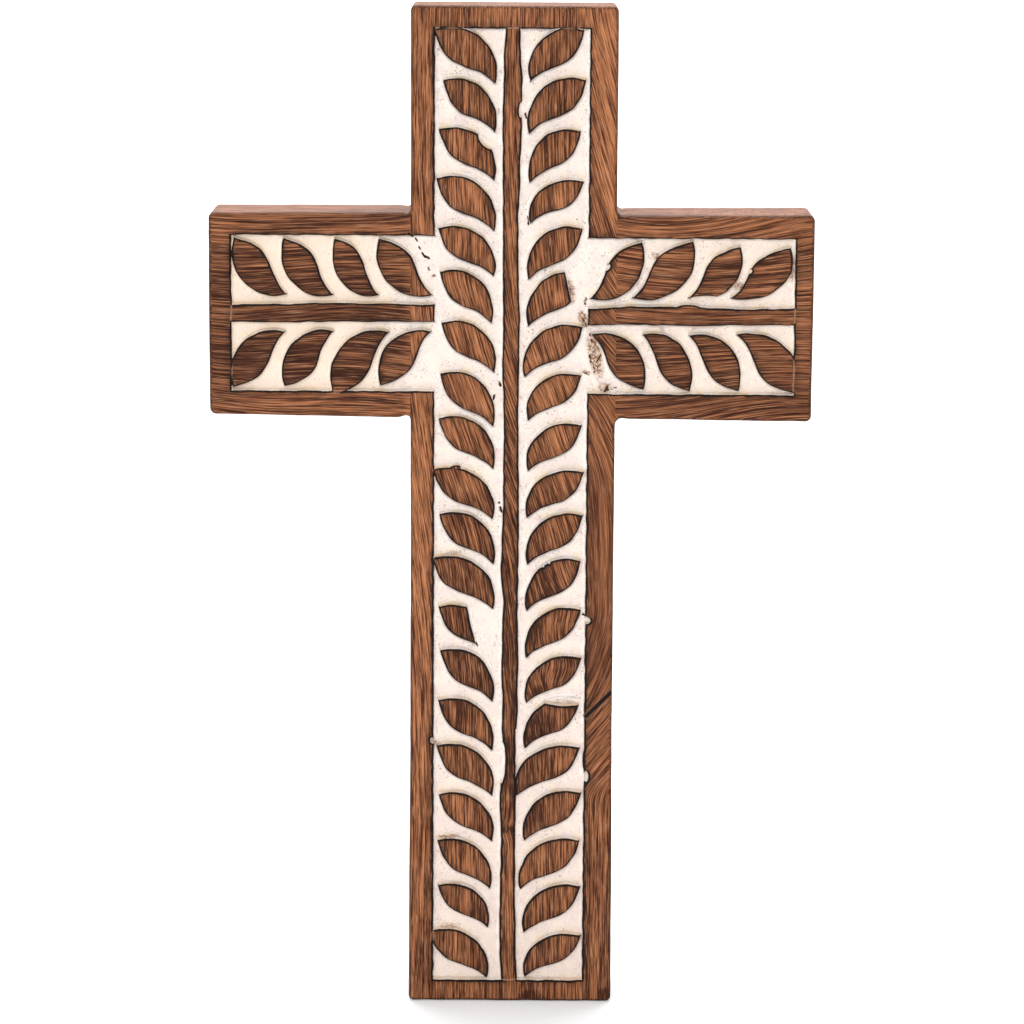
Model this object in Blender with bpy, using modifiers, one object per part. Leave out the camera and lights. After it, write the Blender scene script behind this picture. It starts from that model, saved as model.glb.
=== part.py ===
"""A carved wall cross: an upright post with an arm glued to each side.

The three boards are glued up as one blank, shaped, and carved together. Each
front keeps a plain border. Inside it the ground is cut back, and a stem, two
bars and rows of leaves are left standing level with the border. The back is
flat, with a blind hole for a nail. X runs to the right, Y away from the viewer
and Z up. The origin is on the back face, at the middle of the crossing.
"""
import math
import random

import bmesh
import bpy

# Boards
HEIGHT = 0.305
HEAD_HEIGHT = 0.092
POST_WIDTH = 0.0615
THICKNESS = 0.025
ARM_HEIGHT = 0.0608
ARM_LENGTH = {"left": 0.0602, "right": 0.0589}
ARM_SHIFT = {"left": 0.0001, "right": -0.0004}
GLUE_GAP = 0.0003

# Rounding of corners and edges
POST_CORNER = 0.0018
ARM_CORNER = 0.0027
INNER_FILLET = {"left": 0.0012, "right": 0.0022}
EDGE_ROUND = 0.0010

# Borders left round the ground, and how deep the ground is cut
GROUND_DEPTH = 0.0020
TOP_BORDER = 0.0065
FOOT_BORDER = 0.0070
SIDE_BORDER = {"left": 0.0071, "right": 0.0084}
ARM_TOP_BORDER = 0.0064
ARM_FOOT_BORDER = 0.0076
END_BORDER = {"left": 0.0067, "right": 0.0056}

# Stem, bars and leaves
STEM_WIDTH = 0.0047
BAR_WIDTH = 0.0054
LEAF_RISE = 0.0154
LEAF_PITCH = 0.01445
BASE_GAP = 0.0028
TIP_GAP = 0.0013
ROW_START = 0.0008
CROWN_LAP = 0.0004

# The carver's unevenness: how far a cut strays from its line
HAND_SLIP = 0.00045
SEED = 11

# Blind nail hole in the back
NAIL_HOLE = 0.005
NAIL_DEPTH = 0.012
NAIL_DROP = 0.020

# Handles of the leaf's two curves, as shares of its rise along the stem and
# its reach away from it: the front edge bulges, the rear edge is an S. The
# crown is the highest point of the front edge.
FRONT_SHARES = ((0.54, -0.16), (1.23, 0.30))
REAR_SHARES = ((0.12, 0.81), (0.46, 0.41))
CROWN_SHARE = 1.07
LEAF_STEPS = 8
CORNER_STEPS = 4
STRIP_STEPS = 2

# How far a cutter stands clear of the faces that it passes through
PROUD = 0.001

FOOT_HEIGHT = HEIGHT - HEAD_HEIGHT
HALF_POST = POST_WIDTH / 2
FRONT = -THICKNESS
FLOOR = FRONT + GROUND_DEPTH
SIDES = {"left": -1, "right": 1}

# Leaves by row and number, counted from the top of the post or the end of an
# arm: those that run into the border or the stem, and how much longer they
# are, and those that a slip cut short, with the stretches of the front and
# rear curve that were left.
RUNS_INTO_BORDER = {("left", 9): 0.0025, ("left", 11): 0.0028, ("left", 19): 0.0028,
                    ("left lower", 2): 0.0025}
RUNS_INTO_STEM = {("right", 15): 0.0024, ("right", 17): 0.0024}
KEPT_SHARES = {("left", 12): ((0.72, 1.0), (0.0, 0.74)),
             ("right", 5): ((0.0, 0.82), (0.31, 1.0))}


def clear_scene():
    """Remove every object that is in the file."""
    for thing in list(bpy.data.objects):
        bpy.data.objects.remove(thing, do_unlink=True)


def new_collection(name):
    """Make a collection in the scene."""
    group = bpy.data.collections.new(name)
    bpy.context.scene.collection.children.link(group)
    return group


def make_wood(name, colour):
    """Stained, waxed wood in one colour."""
    wood = bpy.data.materials.new(name)
    wood.use_nodes = True
    shader = wood.node_tree.nodes["Principled BSDF"]
    shader.inputs["Base Color"].default_value = (*colour, 1.0)
    shader.inputs["Roughness"].default_value = 0.6
    shader.inputs["Metallic"].default_value = 0.0
    return wood


def prism(name, outlines, y_near, y_far, steps, group):
    """Closed prisms between two depths, one for each outline.

    An outline is a closed list of knots (point, handle before, handle after)
    in X and Z. A handle of None makes that side of the knot straight.
    """
    curve = bpy.data.curves.new(name, "CURVE")
    curve.dimensions = "2D"
    curve.fill_mode = "BOTH"
    curve.resolution_u = steps
    curve.render_resolution_u = steps
    curve.extrude = (y_far - y_near) / 2
    for outline in outlines:
        spline = curve.splines.new("BEZIER")
        spline.resolution_u = steps
        spline.bezier_points.add(len(outline) - 1)
        spline.use_cyclic_u = True
        for knot, (point, before, after) in zip(spline.bezier_points, outline):
            knot.handle_left_type = "VECTOR" if before is None else "FREE"
            knot.handle_right_type = "VECTOR" if after is None else "FREE"
            knot.co = (*point, 0)
            knot.handle_left = (*(before or point), 0)
            knot.handle_right = (*(after or point), 0)
    drawn = bpy.data.objects.new(name + "_curve", curve)
    drawn.location = (0, (y_near + y_far) / 2, 0)
    drawn.rotation_euler = (math.pi / 2, 0, 0)
    group.objects.link(drawn)
    return curve_to_solid(drawn, name, group)


def curve_to_solid(drawn, name, group):
    """Make a filled curve a closed mesh object and remove the curve."""
    bpy.context.view_layer.update()
    depsgraph = bpy.context.evaluated_depsgraph_get()
    mesh = bpy.data.meshes.new_from_object(drawn.evaluated_get(depsgraph))
    mesh.transform(drawn.matrix_world)
    mesh.materials.clear()
    body = bmesh.new()
    body.from_mesh(mesh)
    bmesh.ops.remove_doubles(body, verts=body.verts, dist=1e-6)
    bmesh.ops.recalc_face_normals(body, faces=body.faces)
    body.to_mesh(mesh)
    body.free()
    solid = bpy.data.objects.new(name, mesh)
    group.objects.link(solid)
    bpy.data.objects.remove(drawn, do_unlink=True)
    return solid


def make_box(name, low, high, group):
    """A box cutter between two corners."""
    mesh = bpy.data.meshes.new(name)
    body = bmesh.new()
    bmesh.ops.create_cube(body, size=1)
    size = [b - a for a, b in zip(low, high)]
    middle = [(a + b) / 2 for a, b in zip(low, high)]
    bmesh.ops.scale(body, vec=size, verts=body.verts)
    bmesh.ops.translate(body, vec=middle, verts=body.verts)
    body.to_mesh(mesh)
    body.free()
    box = bpy.data.objects.new(name, mesh)
    group.objects.link(box)
    hide_cutter(box)
    return box


def hide_cutter(cutter):
    """Mark a cutter, so that it is only a guide."""
    cutter.hide_render = True
    cutter.display_type = "WIRE"


def combine(target, cutter, operation):
    """Cut the target with the cutter, or keep only what both hold."""
    step = target.modifiers.new(cutter.name, "BOOLEAN")
    step.operation = operation
    step.solver = "EXACT"
    step.object = cutter


def arm_levels(side):
    """Lower and upper edge of one arm."""
    return ARM_SHIFT[side] - ARM_HEIGHT / 2, ARM_SHIFT[side] + ARM_HEIGHT / 2


def post_panel():
    """The post's part of the ground: left and right X, lower and upper Z."""
    return (-HALF_POST + SIDE_BORDER["left"], HALF_POST - SIDE_BORDER["right"],
            -FOOT_HEIGHT + FOOT_BORDER, HEAD_HEIGHT - TOP_BORDER)


def arm_panel(side):
    """The arm's part of the ground: inner and outer X, lower and upper Z."""
    low, high = arm_levels(side)
    inner = SIDES[side] * (HALF_POST - SIDE_BORDER[side])
    outer = SIDES[side] * (HALF_POST + ARM_LENGTH[side] - END_BORDER[side])
    return inner, outer, low + ARM_FOOT_BORDER, high - ARM_TOP_BORDER


def cross_corners(foot, top, xs, arm_xs, levels):
    """The twelve corners of a cross, from the foot's left corner round."""
    (left, right), (arm_left, arm_right) = xs, arm_xs
    (l_low, l_high), (r_low, r_high) = levels
    return [(left, foot), (right, foot), (right, r_low), (arm_right, r_low),
            (arm_right, r_high), (right, r_high), (right, top), (left, top),
            (left, l_high), (arm_left, l_high), (arm_left, l_low), (left, l_low)]


def rounded(corners, radii):
    """Knots of a closed outline whose square corners are rounded."""
    rest = 1 - 4 / 3 * math.tan(math.pi / 8)
    outline = []
    for number, ((x, z), radius) in enumerate(zip(corners, radii)):
        if radius == 0:
            outline.append(((x, z), None, None))
            continue
        ends = []
        for other in (corners[number - 1], corners[(number + 1) % len(corners)]):
            length = math.dist((x, z), other)
            ends.append(((other[0] - x) / length, (other[1] - z) / length))
        (in_x, in_z), (out_x, out_z) = ends
        pull = radius * rest
        outline.append(((x + in_x * radius, z + in_z * radius), None,
                        (x + in_x * pull, z + in_z * pull)))
        outline.append(((x + out_x * radius, z + out_z * radius),
                        (x + out_x * pull, z + out_z * pull), None))
    return outline


def blank_outline():
    """The cross as it is glued up and shaped: its outline with rounded corners."""
    levels = [arm_levels(side) for side in SIDES]
    arm_xs = [sign * (HALF_POST + ARM_LENGTH[side]) for side, sign in SIDES.items()]
    corners = cross_corners(-FOOT_HEIGHT, HEAD_HEIGHT, (-HALF_POST, HALF_POST), arm_xs, levels)
    left, right = INNER_FILLET["left"], INNER_FILLET["right"]
    radii = [POST_CORNER, POST_CORNER, right, ARM_CORNER, ARM_CORNER, right,
             POST_CORNER, POST_CORNER, left, ARM_CORNER, ARM_CORNER, left]
    return rounded(corners, radii)


def blossom(points, shares):
    """A point of a Bezier curve's polar form, one share for each step."""
    for share in shares:
        points = [(a[0] + (b[0] - a[0]) * share, a[1] + (b[1] - a[1]) * share)
                  for a, b in zip(points, points[1:])]
    return points[0]


def stretch_of(curve, start, end):
    """Control points of the stretch of a cubic curve between two shares."""
    return [blossom(curve, pick) for pick in ((start,) * 3, (start, start, end),
                                              (start, end, end), (end,) * 3)]


def leaf_outline(place, keep):
    """A pointed leaf, or what a slip left of it, as knots with handles.

    The front curve runs from the base to the tip, the rear curve back again.
    """
    front = [place(share) for share in ((0, 0), *FRONT_SHARES, (1, 1))]
    rear = [place(share) for share in ((1, 1), *REAR_SHARES, (0, 0))]
    front = stretch_of(front, *keep[0])
    rear = stretch_of(rear, *keep[1])
    if keep[0][1] == 1:
        tip = [(front[3], front[2], rear[1])]
    else:
        tip = [(front[3], front[2], None), (rear[0], None, rear[1])]
    if keep[0][0] == 0:
        return [(front[0], rear[2], front[1])] + tip
    return [(front[0], None, front[1])] + tip + [(rear[3], rear[2], None)]


def leaf_row(key, start, length, along, out, reach, hand):
    """Leaves spread evenly in a row, the one at the far end first."""
    room = length - CROWN_SHARE * LEAF_RISE - ROW_START + CROWN_LAP
    count = max(1, 1 + round(room / LEAF_PITCH))
    pitch = room / max(1, count - 1)
    row = []
    for number in range(count):
        step = ROW_START + pitch * (count - 1 - number) + hand.uniform(-1, 1) * HAND_SLIP
        sink = RUNS_INTO_STEM.get((key, number), 0) - hand.uniform(-1, 1) * HAND_SLIP / 2
        rise = LEAF_RISE + hand.uniform(-1, 1) * HAND_SLIP
        tip = reach + RUNS_INTO_BORDER.get((key, number), hand.uniform(-1, 1) * HAND_SLIP)

        def place(share):
            u = step + share[0] * rise
            w = share[1] * tip - (1 - share[1]) * sink
            return start[0] + along[0] * u + out[0] * w, start[1] + along[1] * u + out[1] * w

        keep = KEPT_SHARES.get((key, number), ((0, 1), (0, 1)))
        row.append(leaf_outline(place, keep))
    return row


def post_leaves(hand):
    """Both columns of leaves beside the stem."""
    left, right, low, high = post_panel()
    reach = (right - left - STEM_WIDTH) / 2 - BASE_GAP - TIP_GAP
    leaves = []
    for side, sign in SIDES.items():
        start = ((left + right) / 2 + sign * (STEM_WIDTH / 2 + BASE_GAP), low)
        leaves += leaf_row(side, start, high - low, (0, 1), (sign, 0), reach, hand)
    return leaves


def arm_leaves(side, hand):
    """The rows of leaves above and below one arm's bar."""
    inner, outer, low, high = arm_panel(side)
    reach = (high - low - BAR_WIDTH) / 2 - BASE_GAP - TIP_GAP
    length = abs(outer - inner) - CROWN_LAP - TIP_GAP
    leaves = []
    for row, out in (("upper", 1), ("lower", -1)):
        start = (inner, (low + high) / 2 + out * (BAR_WIDTH / 2 + BASE_GAP))
        leaves += leaf_row(f"{side} {row}", start, length, (SIDES[side], 0), (0, out),
                           reach, hand)
    return leaves


def strip_outline(start, end, width, hand):
    """A straight strip whose two long edges stray a little, in smooth waves."""
    length = math.dist(start, end)
    along = ((end[0] - start[0]) / length, (end[1] - start[1]) / length)
    out = (-along[1], along[0])
    count = max(2, round(length / LEAF_PITCH))
    lead = length / count / 3

    def place(u, w):
        return start[0] + along[0] * u + out[0] * w, start[1] + along[1] * u + out[1] * w

    outline = []
    for side in (-1, 1):
        edge = []
        for number in range(count + 1):
            w = side * width / 2 + hand.uniform(-1, 1) * HAND_SLIP
            u = length * number / count
            edge.append((place(u, w), place(u - lead, w), place(u + lead, w)))
        edge[0] = (edge[0][0], None, edge[0][2])
        edge[-1] = (edge[-1][0], edge[-1][1], None)
        if side > 0:
            edge = [(point, after, before) for point, before, after in reversed(edge)]
        outline += edge
    return outline


def strips(hand):
    """The stem and the two bars. Each runs a little way into the border."""
    left, right, low, high = post_panel()
    middle = (left + right) / 2
    lines = [strip_outline((middle, low - PROUD), (middle, high + PROUD), STEM_WIDTH, hand)]
    for side, sign in SIDES.items():
        inner, outer, foot, top = arm_panel(side)
        level = (foot + top) / 2
        lines.append(strip_outline((inner, level), (outer + sign * PROUD, level),
                                   BAR_WIDTH, hand))
    return lines


def make_ground(group):
    """The cutter for the ground: the panel with leaves, stem and bars left out."""
    hand = random.Random(SEED)
    outlines = post_leaves(hand) + arm_leaves("left", hand) + arm_leaves("right", hand)
    left, right, low, high = post_panel()
    panels = [arm_panel(side) for side in SIDES]
    corners = cross_corners(low, high, (left, right), [panel[1] for panel in panels],
                            [panel[2:] for panel in panels])
    near = FRONT - PROUD
    ground = prism("ground", [rounded(corners, [0] * len(corners))], near, FLOOR, 1, group)
    leaves = prism("leaves", outlines, near - PROUD, FLOOR + PROUD, LEAF_STEPS, group)
    bars = prism("stem_and_bars", strips(hand), near - PROUD, FLOOR + PROUD, STRIP_STEPS, group)
    for solid in (leaves, bars):
        combine(ground, solid, "DIFFERENCE")
        hide_cutter(solid)
    hide_cutter(ground)
    return ground


def make_nail_hole(group):
    """The cutter for the nail hole, square to the back."""
    mesh = bpy.data.meshes.new("nail_hole")
    body = bmesh.new()
    bmesh.ops.create_cone(body, cap_ends=True, segments=24, radius1=NAIL_HOLE / 2,
                          radius2=NAIL_HOLE / 2, depth=NAIL_DEPTH + PROUD)
    body.to_mesh(mesh)
    body.free()
    hole = bpy.data.objects.new("nail_hole", mesh)
    hole.rotation_euler = (math.pi / 2, 0, 0)
    hole.location = (0, (PROUD - NAIL_DEPTH) / 2, HEAD_HEIGHT - NAIL_DROP)
    group.objects.link(hole)
    hide_cutter(hole)
    return hole


def arm_space(name, side, glue_face, group):
    """A box round one arm, from its glue face outwards."""
    low, high = arm_levels(side)
    reach = INNER_FILLET[side]
    far = SIDES[side] * (HALF_POST + ARM_LENGTH[side] + PROUD)
    near = SIDES[side] * glue_face
    return make_box(name, (min(near, far), FRONT - PROUD, low - reach),
                    (max(near, far), PROUD, high + reach), group)


def make_board(name, colour, group):
    """One board, which starts as the whole blank with its long edges rounded."""
    board = prism(name, [blank_outline()], FRONT, 0, CORNER_STEPS, group)
    board.data.materials.append(make_wood(name + "_wood", colour))
    soften = board.modifiers.new("rounded edges", "BEVEL")
    soften.width = EDGE_ROUND
    soften.segments = 2
    soften.limit_method = "ANGLE"
    soften.angle_limit = math.radians(50)
    return board


def main():
    """Shape the blank, part it at the glue lines and carve the boards last."""
    clear_scene()
    boards = new_collection("wall_cross")
    cutters = new_collection("cutters")
    ground = make_ground(cutters)
    post = make_board("post", (0.25, 0.095, 0.041), boards)
    for side in SIDES:
        arm = make_board(side + "_arm", (0.22, 0.083, 0.036), boards)
        stock = arm_space(side + "_arm_stock", side, HALF_POST + GLUE_GAP / 2, cutters)
        space = arm_space(side + "_arm_space", side, HALF_POST - GLUE_GAP / 2, cutters)
        combine(arm, stock, "INTERSECT")
        combine(arm, ground, "DIFFERENCE")
        combine(post, space, "DIFFERENCE")
    combine(post, make_nail_hole(cutters), "DIFFERENCE")
    combine(post, ground, "DIFFERENCE")


main()
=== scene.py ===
"""A carved wall cross as it is seen: three boards with a painted, carved front.

The boards are worked out in millimetres, in X to the right and Z up, and made
metres when a piece is made. A carved front is a height over X and Z, read from
the distance to the nearest cut line, on points that follow the cut lines.
"""
import math
import random

import bpy
import numpy as np
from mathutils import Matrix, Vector
from mathutils.geometry import delaunay_2d_cdt


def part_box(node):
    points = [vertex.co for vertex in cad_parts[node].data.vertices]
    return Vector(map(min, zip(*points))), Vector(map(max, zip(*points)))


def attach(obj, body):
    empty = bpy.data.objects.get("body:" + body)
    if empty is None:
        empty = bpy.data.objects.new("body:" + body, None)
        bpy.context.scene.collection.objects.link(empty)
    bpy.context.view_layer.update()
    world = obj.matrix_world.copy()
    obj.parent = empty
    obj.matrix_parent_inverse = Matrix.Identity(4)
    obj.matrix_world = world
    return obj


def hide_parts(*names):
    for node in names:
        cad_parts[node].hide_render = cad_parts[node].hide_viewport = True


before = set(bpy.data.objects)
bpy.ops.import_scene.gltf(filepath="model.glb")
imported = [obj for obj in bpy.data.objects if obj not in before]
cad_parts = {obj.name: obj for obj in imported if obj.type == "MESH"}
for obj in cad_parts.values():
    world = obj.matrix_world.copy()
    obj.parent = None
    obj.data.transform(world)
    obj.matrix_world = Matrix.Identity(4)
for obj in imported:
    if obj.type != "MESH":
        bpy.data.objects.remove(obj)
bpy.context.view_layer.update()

bl_info = {
    "name": "Carved Wall Cross",
    "version": (1, 0, 0),
    "blender": (4, 5, 0),
    "location": "View3D > Sidebar > Wall Cross",
    "description": "Three boards with a painted, carved front, and a pale studio round them",
    "category": "Object",
}

# The boards and their carving in millimetres. The outer corners are a little
# tighter than in the solids, and the rest is as there
HEIGHT = 305.0
HEAD_HEIGHT = 92.0
POST_WIDTH = 61.5
THICKNESS = 25.0
ARM_HEIGHT = 60.8
ARM_LENGTH = {"left": 60.2, "right": 58.9}
ARM_SHIFT = {"left": 0.1, "right": -0.4}
POST_CORNER = 1.5
ARM_CORNER = 1.8
INNER_FILLET = {"left": 1.2, "right": 2.2}
TOP_BORDER = 6.5
FOOT_BORDER = 7.0
SIDE_BORDER = {"left": 7.1, "right": 8.4}
ARM_TOP_BORDER = 6.4
ARM_FOOT_BORDER = 7.6
END_BORDER = {"left": 6.7, "right": 5.6}
STEM_WIDTH = 4.7
BAR_WIDTH = 5.4
LEAF_RISE = 15.4
LEAF_PITCH = 14.45
BASE_GAP = 2.8
TIP_GAP = 1.3
ROW_START = 0.8
CROWN_LAP = 0.4
HAND_SLIP = 0.45
SEED = 11
NAIL_HOLE = 5.0
NAIL_DEPTH = 12.0
NAIL_DROP = 20.0
FRONT_SHARES = ((0.54, -0.16), (1.23, 0.30))
REAR_SHARES = ((0.12, 0.81), (0.46, 0.41))
CROWN_SHARE = 1.07
PROUD = 1.0
RUNS_INTO_BORDER = {("left", 0): 1.4, ("left", 9): 2.5, ("left", 11): 2.8, ("left", 19): 2.8,
                    ("left lower", 2): 2.5}
RUNS_INTO_STEM = {("right", 15): 2.4, ("right", 17): 2.4}
KEPT_SHARES = {("left", 12): ((0.72, 1.0), (0.0, 0.74)), ("right", 5): ((0.0, 0.82), (0.31, 1.0))}

# Where a leaf strays from its row: its base along the row, its rise, its base
# away from the stem and its tip away from the stem
STRAYS = {"left": {1: (0, 0, 0, -1.3), 3: (0, 0, 0, 1.1), 4: (0, -1.2, 0, 0), 5: (1.2, -0.2, 1, 0),
                   6: (0.6, 0, 0, -0.9), 7: (-1.4, 0.4, 0, -0.7), 9: (-1.4, -0.6, 0, -1),
                   11: (0, 0, 0, -1.1), 13: (0, 0, 0, -0.8), 17: (-1.2, 0, 0.6, 0),
                   18: (1.6, -1.6, 1, -0.4), 19: (0, 0, 1.4, -0.3)},
          "right": {0: (0, 0, 0, -0.9), 2: (0, 0, 0, -1.2), 3: (1.8, -3, 0.6, 0), 4: (0, 0, 0, -0.7),
                    6: (-0.9, 0, -1.1, 0), 7: (0, -1.5, 0, -0.4), 8: (-0.9, -1.1, 0, -0.8),
                    9: (-0.7, -1.5, 0, 0.7), 13: (0, -1.4, 0, 0.3), 17: (-1.3, 0, 1, 0),
                    19: (0, -1.7, 0, 0.5)},
          "left upper": {0: (1.2, 0.3, 0, 0), 1: (1.8, -1, 0, 0), 2: (1.8, -2.8, 0, 0)},
          "left lower": {0: (1.8, -0.1, 0, 0.2), 1: (1.2, -0.8, 0, 0), 2: (-0.8, 0.8, 0, 0),
                         3: (0, -0.6, 0, -0.6)},
          "right upper": {0: (-1.2, 2.3, 0, -1.6), 1: (0.8, -0.2, 0, -0.8), 2: (-2.2, 2.2, 0, 0)},
          "right lower": {0: (1, 1.9, 0, 0.8), 1: (0.8, -0.4, 0, 0), 2: (1.5, -1.5, 0, 0)}}

# How far the arms' edges stray from square: X and the rise there. How far the
# foot stands out at each side
ARM_SPLAY = {"lower": ((-91, 0.1), (-34, -0.7), (0, -0.4), (34, -0.3), (90, -0.8)),
             "upper": ((-91, 0.15), (-34, 0.25), (0, 0.2), (34, 0.2), (90, 0.6))}
FOOT_SPLAY = 0.45

# Where straying sets in and is whole: out from the middle for the arms, up or
# down from it for their edges, and down the post for its foot
ARM_SETS_IN = (31.5, 35)
EDGE_SETS_IN = (20, 29)
FOOT_SETS_IN = (100, 213)

FOOT_HEIGHT = HEIGHT - HEAD_HEIGHT
HALF_POST = POST_WIDTH / 2
SIDES = {"left": -1, "right": 1}

# Slips of the gouge and bits left standing: X, Z, half width, half height, tilt
# in degrees, and whether wood was cut away (1) or left (-1)
SLIPS = ((2.1, 61.7, 0.95, 2.4, 0, 1), (-8.5, 52.3, 3.2, 1.3, -49, 1), (-3, -137, 1.4, 6.8, 0, 1),
         (22.6, -92.6, 1.5, 1.15, 0, 1), (22.9, -141.3, 0.8, 1.7, 0, 1), (27.9, 14.9, 1.2, 0.7, 50, 1),
         (39, 12.8, 0.9, 1.3, -15, 1), (70.4, 13.9, 0.8, 0.6, 45, 1), (57.4, 5.2, 5.2, 1.4, 0, 1),
         (-23.9, -130.4, 0.8, 1, 30, 1), (16, -117.7, 6.5, 1.5, 0, 1), (9.4, -75.8, 0.4, 0.6, 0, 1),
         (11.3, -74.9, 0.35, 0.6, 0, 1), (1.9, -127, 0.6, 0.8, 0, 1), (22.4, -136, 0.5, 3, 0, -1),
         (-17.3, -45.9, 1.6, 0.8, 5, -1), (-13.9, -74.9, 0.5, 0.8, 20, -1), (52, 2.5, 3.8, 1.4, 0, -1))

# Cracks, scratches and pencil ticks: two ends, half width, depth and darkness
SCARS = ((22.8, -122.6, 30.3, -115.1, 0.85, 0.3, 1), (-29.4, 23, -28.9, 22.2, 0.24, 0.1, 1),
         (-28.2, 20.5, -27.8, 19.7, 0.24, 0.1, 1), (-27.3, 18.5, -26.4, 17.3, 0.3, 0.1, 1),
         (-25.5, 14.3, -25, 13.4, 0.26, 0.1, 1), (-24, 12.2, -23.5, 11.5, 0.22, 0.1, 0.9),
         (-26.4, 17.6, -25.2, 17, 0.34, 0.1, 1), (-31.3, 24.5, -30.2, 23.9, 0.6, 0.1, 1),
         (-8.7, -91.8, -6, -94.4, 0.2, 0.1, 0.5), (-6, -94.4, -4.4, -98.3, 0.2, 0.1, 0.5),
         (-10.9, -100, -10, -101.6, 0.3, 0.1, 0.9), (3.2, 60.3, 3.5, 59, 0.3, 0.1, 0.9),
         (-4.2, -56.8, -3.2, -59.6, 0.35, 0.1, 1), (-4.9, -17.8, -3.6, -21.4, 0.3, 0.1, 1),
         (-5.4, -22.6, -5.8, -25.3, 0.3, 0.1, 1), (4.1, 29.6, 4.4, 27.4, 0.2, 0.1, 1),
         (4.9, 10.3, 10.2, 14.5, 0.18, 0, 0.5), (23.6, 20.3, 24.2, 18.8, 0.3, 0.1, 0.9),
         (26.4, -22.4, 28.6, -21, 0.22, 0, 0.8), (28.6, -21, 27.4, -22.8, 0.22, 0, 0.8),
         (27.4, -22.8, 31, -21.6, 0.22, 0, 0.8), (21.6, -91.2, 23.2, -91.5, 0.35, 0.1, 1),
         (21.8, 6.4, 21.4, 3, 0.35, 0.1, 0.9), (20.6, -0.4, 22, -3.4, 0.22, 0.1, 0.8),
         (22.9, -5.4, 23.6, -8, 0.24, 0.1, 0.9), (24.4, -8, 25.6, -10.2, 0.22, 0.1, 0.8),
         (22.8, -11.5, 23.4, -14.2, 0.24, 0.1, 0.9), (24.2, -14.8, 24.4, -17.4, 0.24, 0.1, 0.8),
         (26.2, -11.8, 25, -14.2, 0.3, 0.1, 0.8), (21, -17, 22.6, -17.8, 0.24, 0.1, 0.8))

# Patches of the boards: X, Z, half width, half height, tilt in degrees, how much
# lighter the wood is, and how much of its figure is lost. The strip along the
# foot's lower edge is a painted shadow, and the bright streak beside the crack is
# a painted highlight
PATCHES = ((-27.5, 60, 6, 36, 0, -0.04, 0), (27, 62, 7, 34, 0, 0.21, 0), (-27.5, -20, 5, 72, 0, 0.27, 0),
           (0, 89, 30, 6, 0, 0.03, 0), (-87, 0, 9, 34, 0, -0.05, 0), (-62, -27, 36, 6, 0, -0.18, 0),
           (-62, 27, 36, 6, 0, 0.07, 0), (62, -27, 36, 6, 0, -0.02, 0), (62, 27, 36, 7, 0, 0.1, 0),
           (26.5, -66, 6, 30, 0, -0.1, 0.5), (0, 20, 22, 66, 0, 0.05, 0), (0, -106, 22, 56, 0, -0.19, 0),
           (0, -196, 24, 18, 0, -0.1, 0), (-62, 0, 40, 24, 0, -0.29, 0), (0, -40, 22, 26, 0, 0.05, 0),
           (62, -12, 36, 11, 0, -0.09, 0), (62, 12, 36, 11, 0, 0.05, 0), (0, 60, 3, 60, 0, 0.1, 0),
           (62, 0, 34, 3, 0, 0.1, 0), (27, -170, 6, 50, 0, -0.14, 0), (-27, -170, 6, 50, 0, 0.03, 0),
           (8.2, -126.4, 3.8, 5.2, -35, -0.75, 0), (8.2, -115.6, 2, 2.8, -20, -0.5, 0),
           (6.8, -211.8, 4, 2.2, 0, -0.7, 0), (29.4, -211.2, 2.2, 2.8, 0, -0.6, 0),
           # A painted shadow along the foot's lower edge where it meets the floor, and a painted highlight
           # along the crack
           (0, -213.2, 60, 1, 0, -0.6, 0), (27.2, -117.9, 4.4, 0.5, 45, 1.3, 0),
           (7.6, -153.5, 3.2, 4.4, -20, -0.4, 0), (19, -104.6, 3, 3, 0, -0.25, 0),
           (17.5, -137.8, 3, 3, 0, 0.25, 0.3), (27, -104, 6, 14, 0, -0.1, 0.4),
           (-12, -60, 8, 6, 30, -0.14, 0), (-13, -88, 7, 6, 0, -0.05, 0),
           (-1, -158.3, 2.2, 1, 10, -0.45, 0), (13.5, 5.6, 1.6, 2.6, -20, 0.35, 0))

# Brown stains in the paint: X, Z, half width, half height, tilt in degrees, strength
STAINS = ((24.6, -12, 2.2, 8, 12, 0.9), (27.5, -21.5, 2.6, 1.6, 10, 0.6), (67.2, 9.3, 2.2, 1.2, 0, 0.8),
          (82.9, 14.3, 0.9, 4.2, 0, 0.8), (42.4, 18, 1.2, 1, 0, 0.9), (16.5, -118.6, 4, 0.5, 0, 0.4),
          (-23, -131.4, 2.2, 1, -20, 0.5), (17.3, 7.5, 0.9, 4.2, 12, 0.9), (22, -17, 1.8, 0.6, -10, 0.7),
          (21, -1, 1.6, 3, 20, 0.9), (-18, -72.5, 4, 0.5, 5, 0.4), (-19, -160.8, 3.6, 0.5, 4, 0.7),
          (-18.4, -175.8, 3.2, 0.5, 2, 0.7), (-18.4, -189.4, 3.6, 0.5, 0, 0.5))

# How far the figure of the post leans to the left for each millimetre up, by
# level: in the left border, in the middle and in the right border
LEANS = {"left": ((-213, 0), (-120, 0.02), (-105, 0.10), (-60, 0.14), (-40, 0.14), (0, 0.1), (30, 0.06),
                  (45, 0), (92, 0)),
         "middle": ((-213, 0), (-120, 0.02), (-105, 0.12), (-78, 0.16), (-58, 0.34), (-15, 0.36), (8, 0.12),
                    (50, 0.03), (92, 0)),
         "right": ((-213, 0), (-150, 0), (-142, -0.8), (-122, -0.8), (-112, -0.4), (-96, -0.3), (-88, 0),
                   (-45, 0.1), (-30, 0.8), (5, 0.8), (25, 0.3), (84, 0.3), (92, 0.1))}

# How far the arms' figure waves, in millimetres
ARM_WAVE = 2.5

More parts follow.
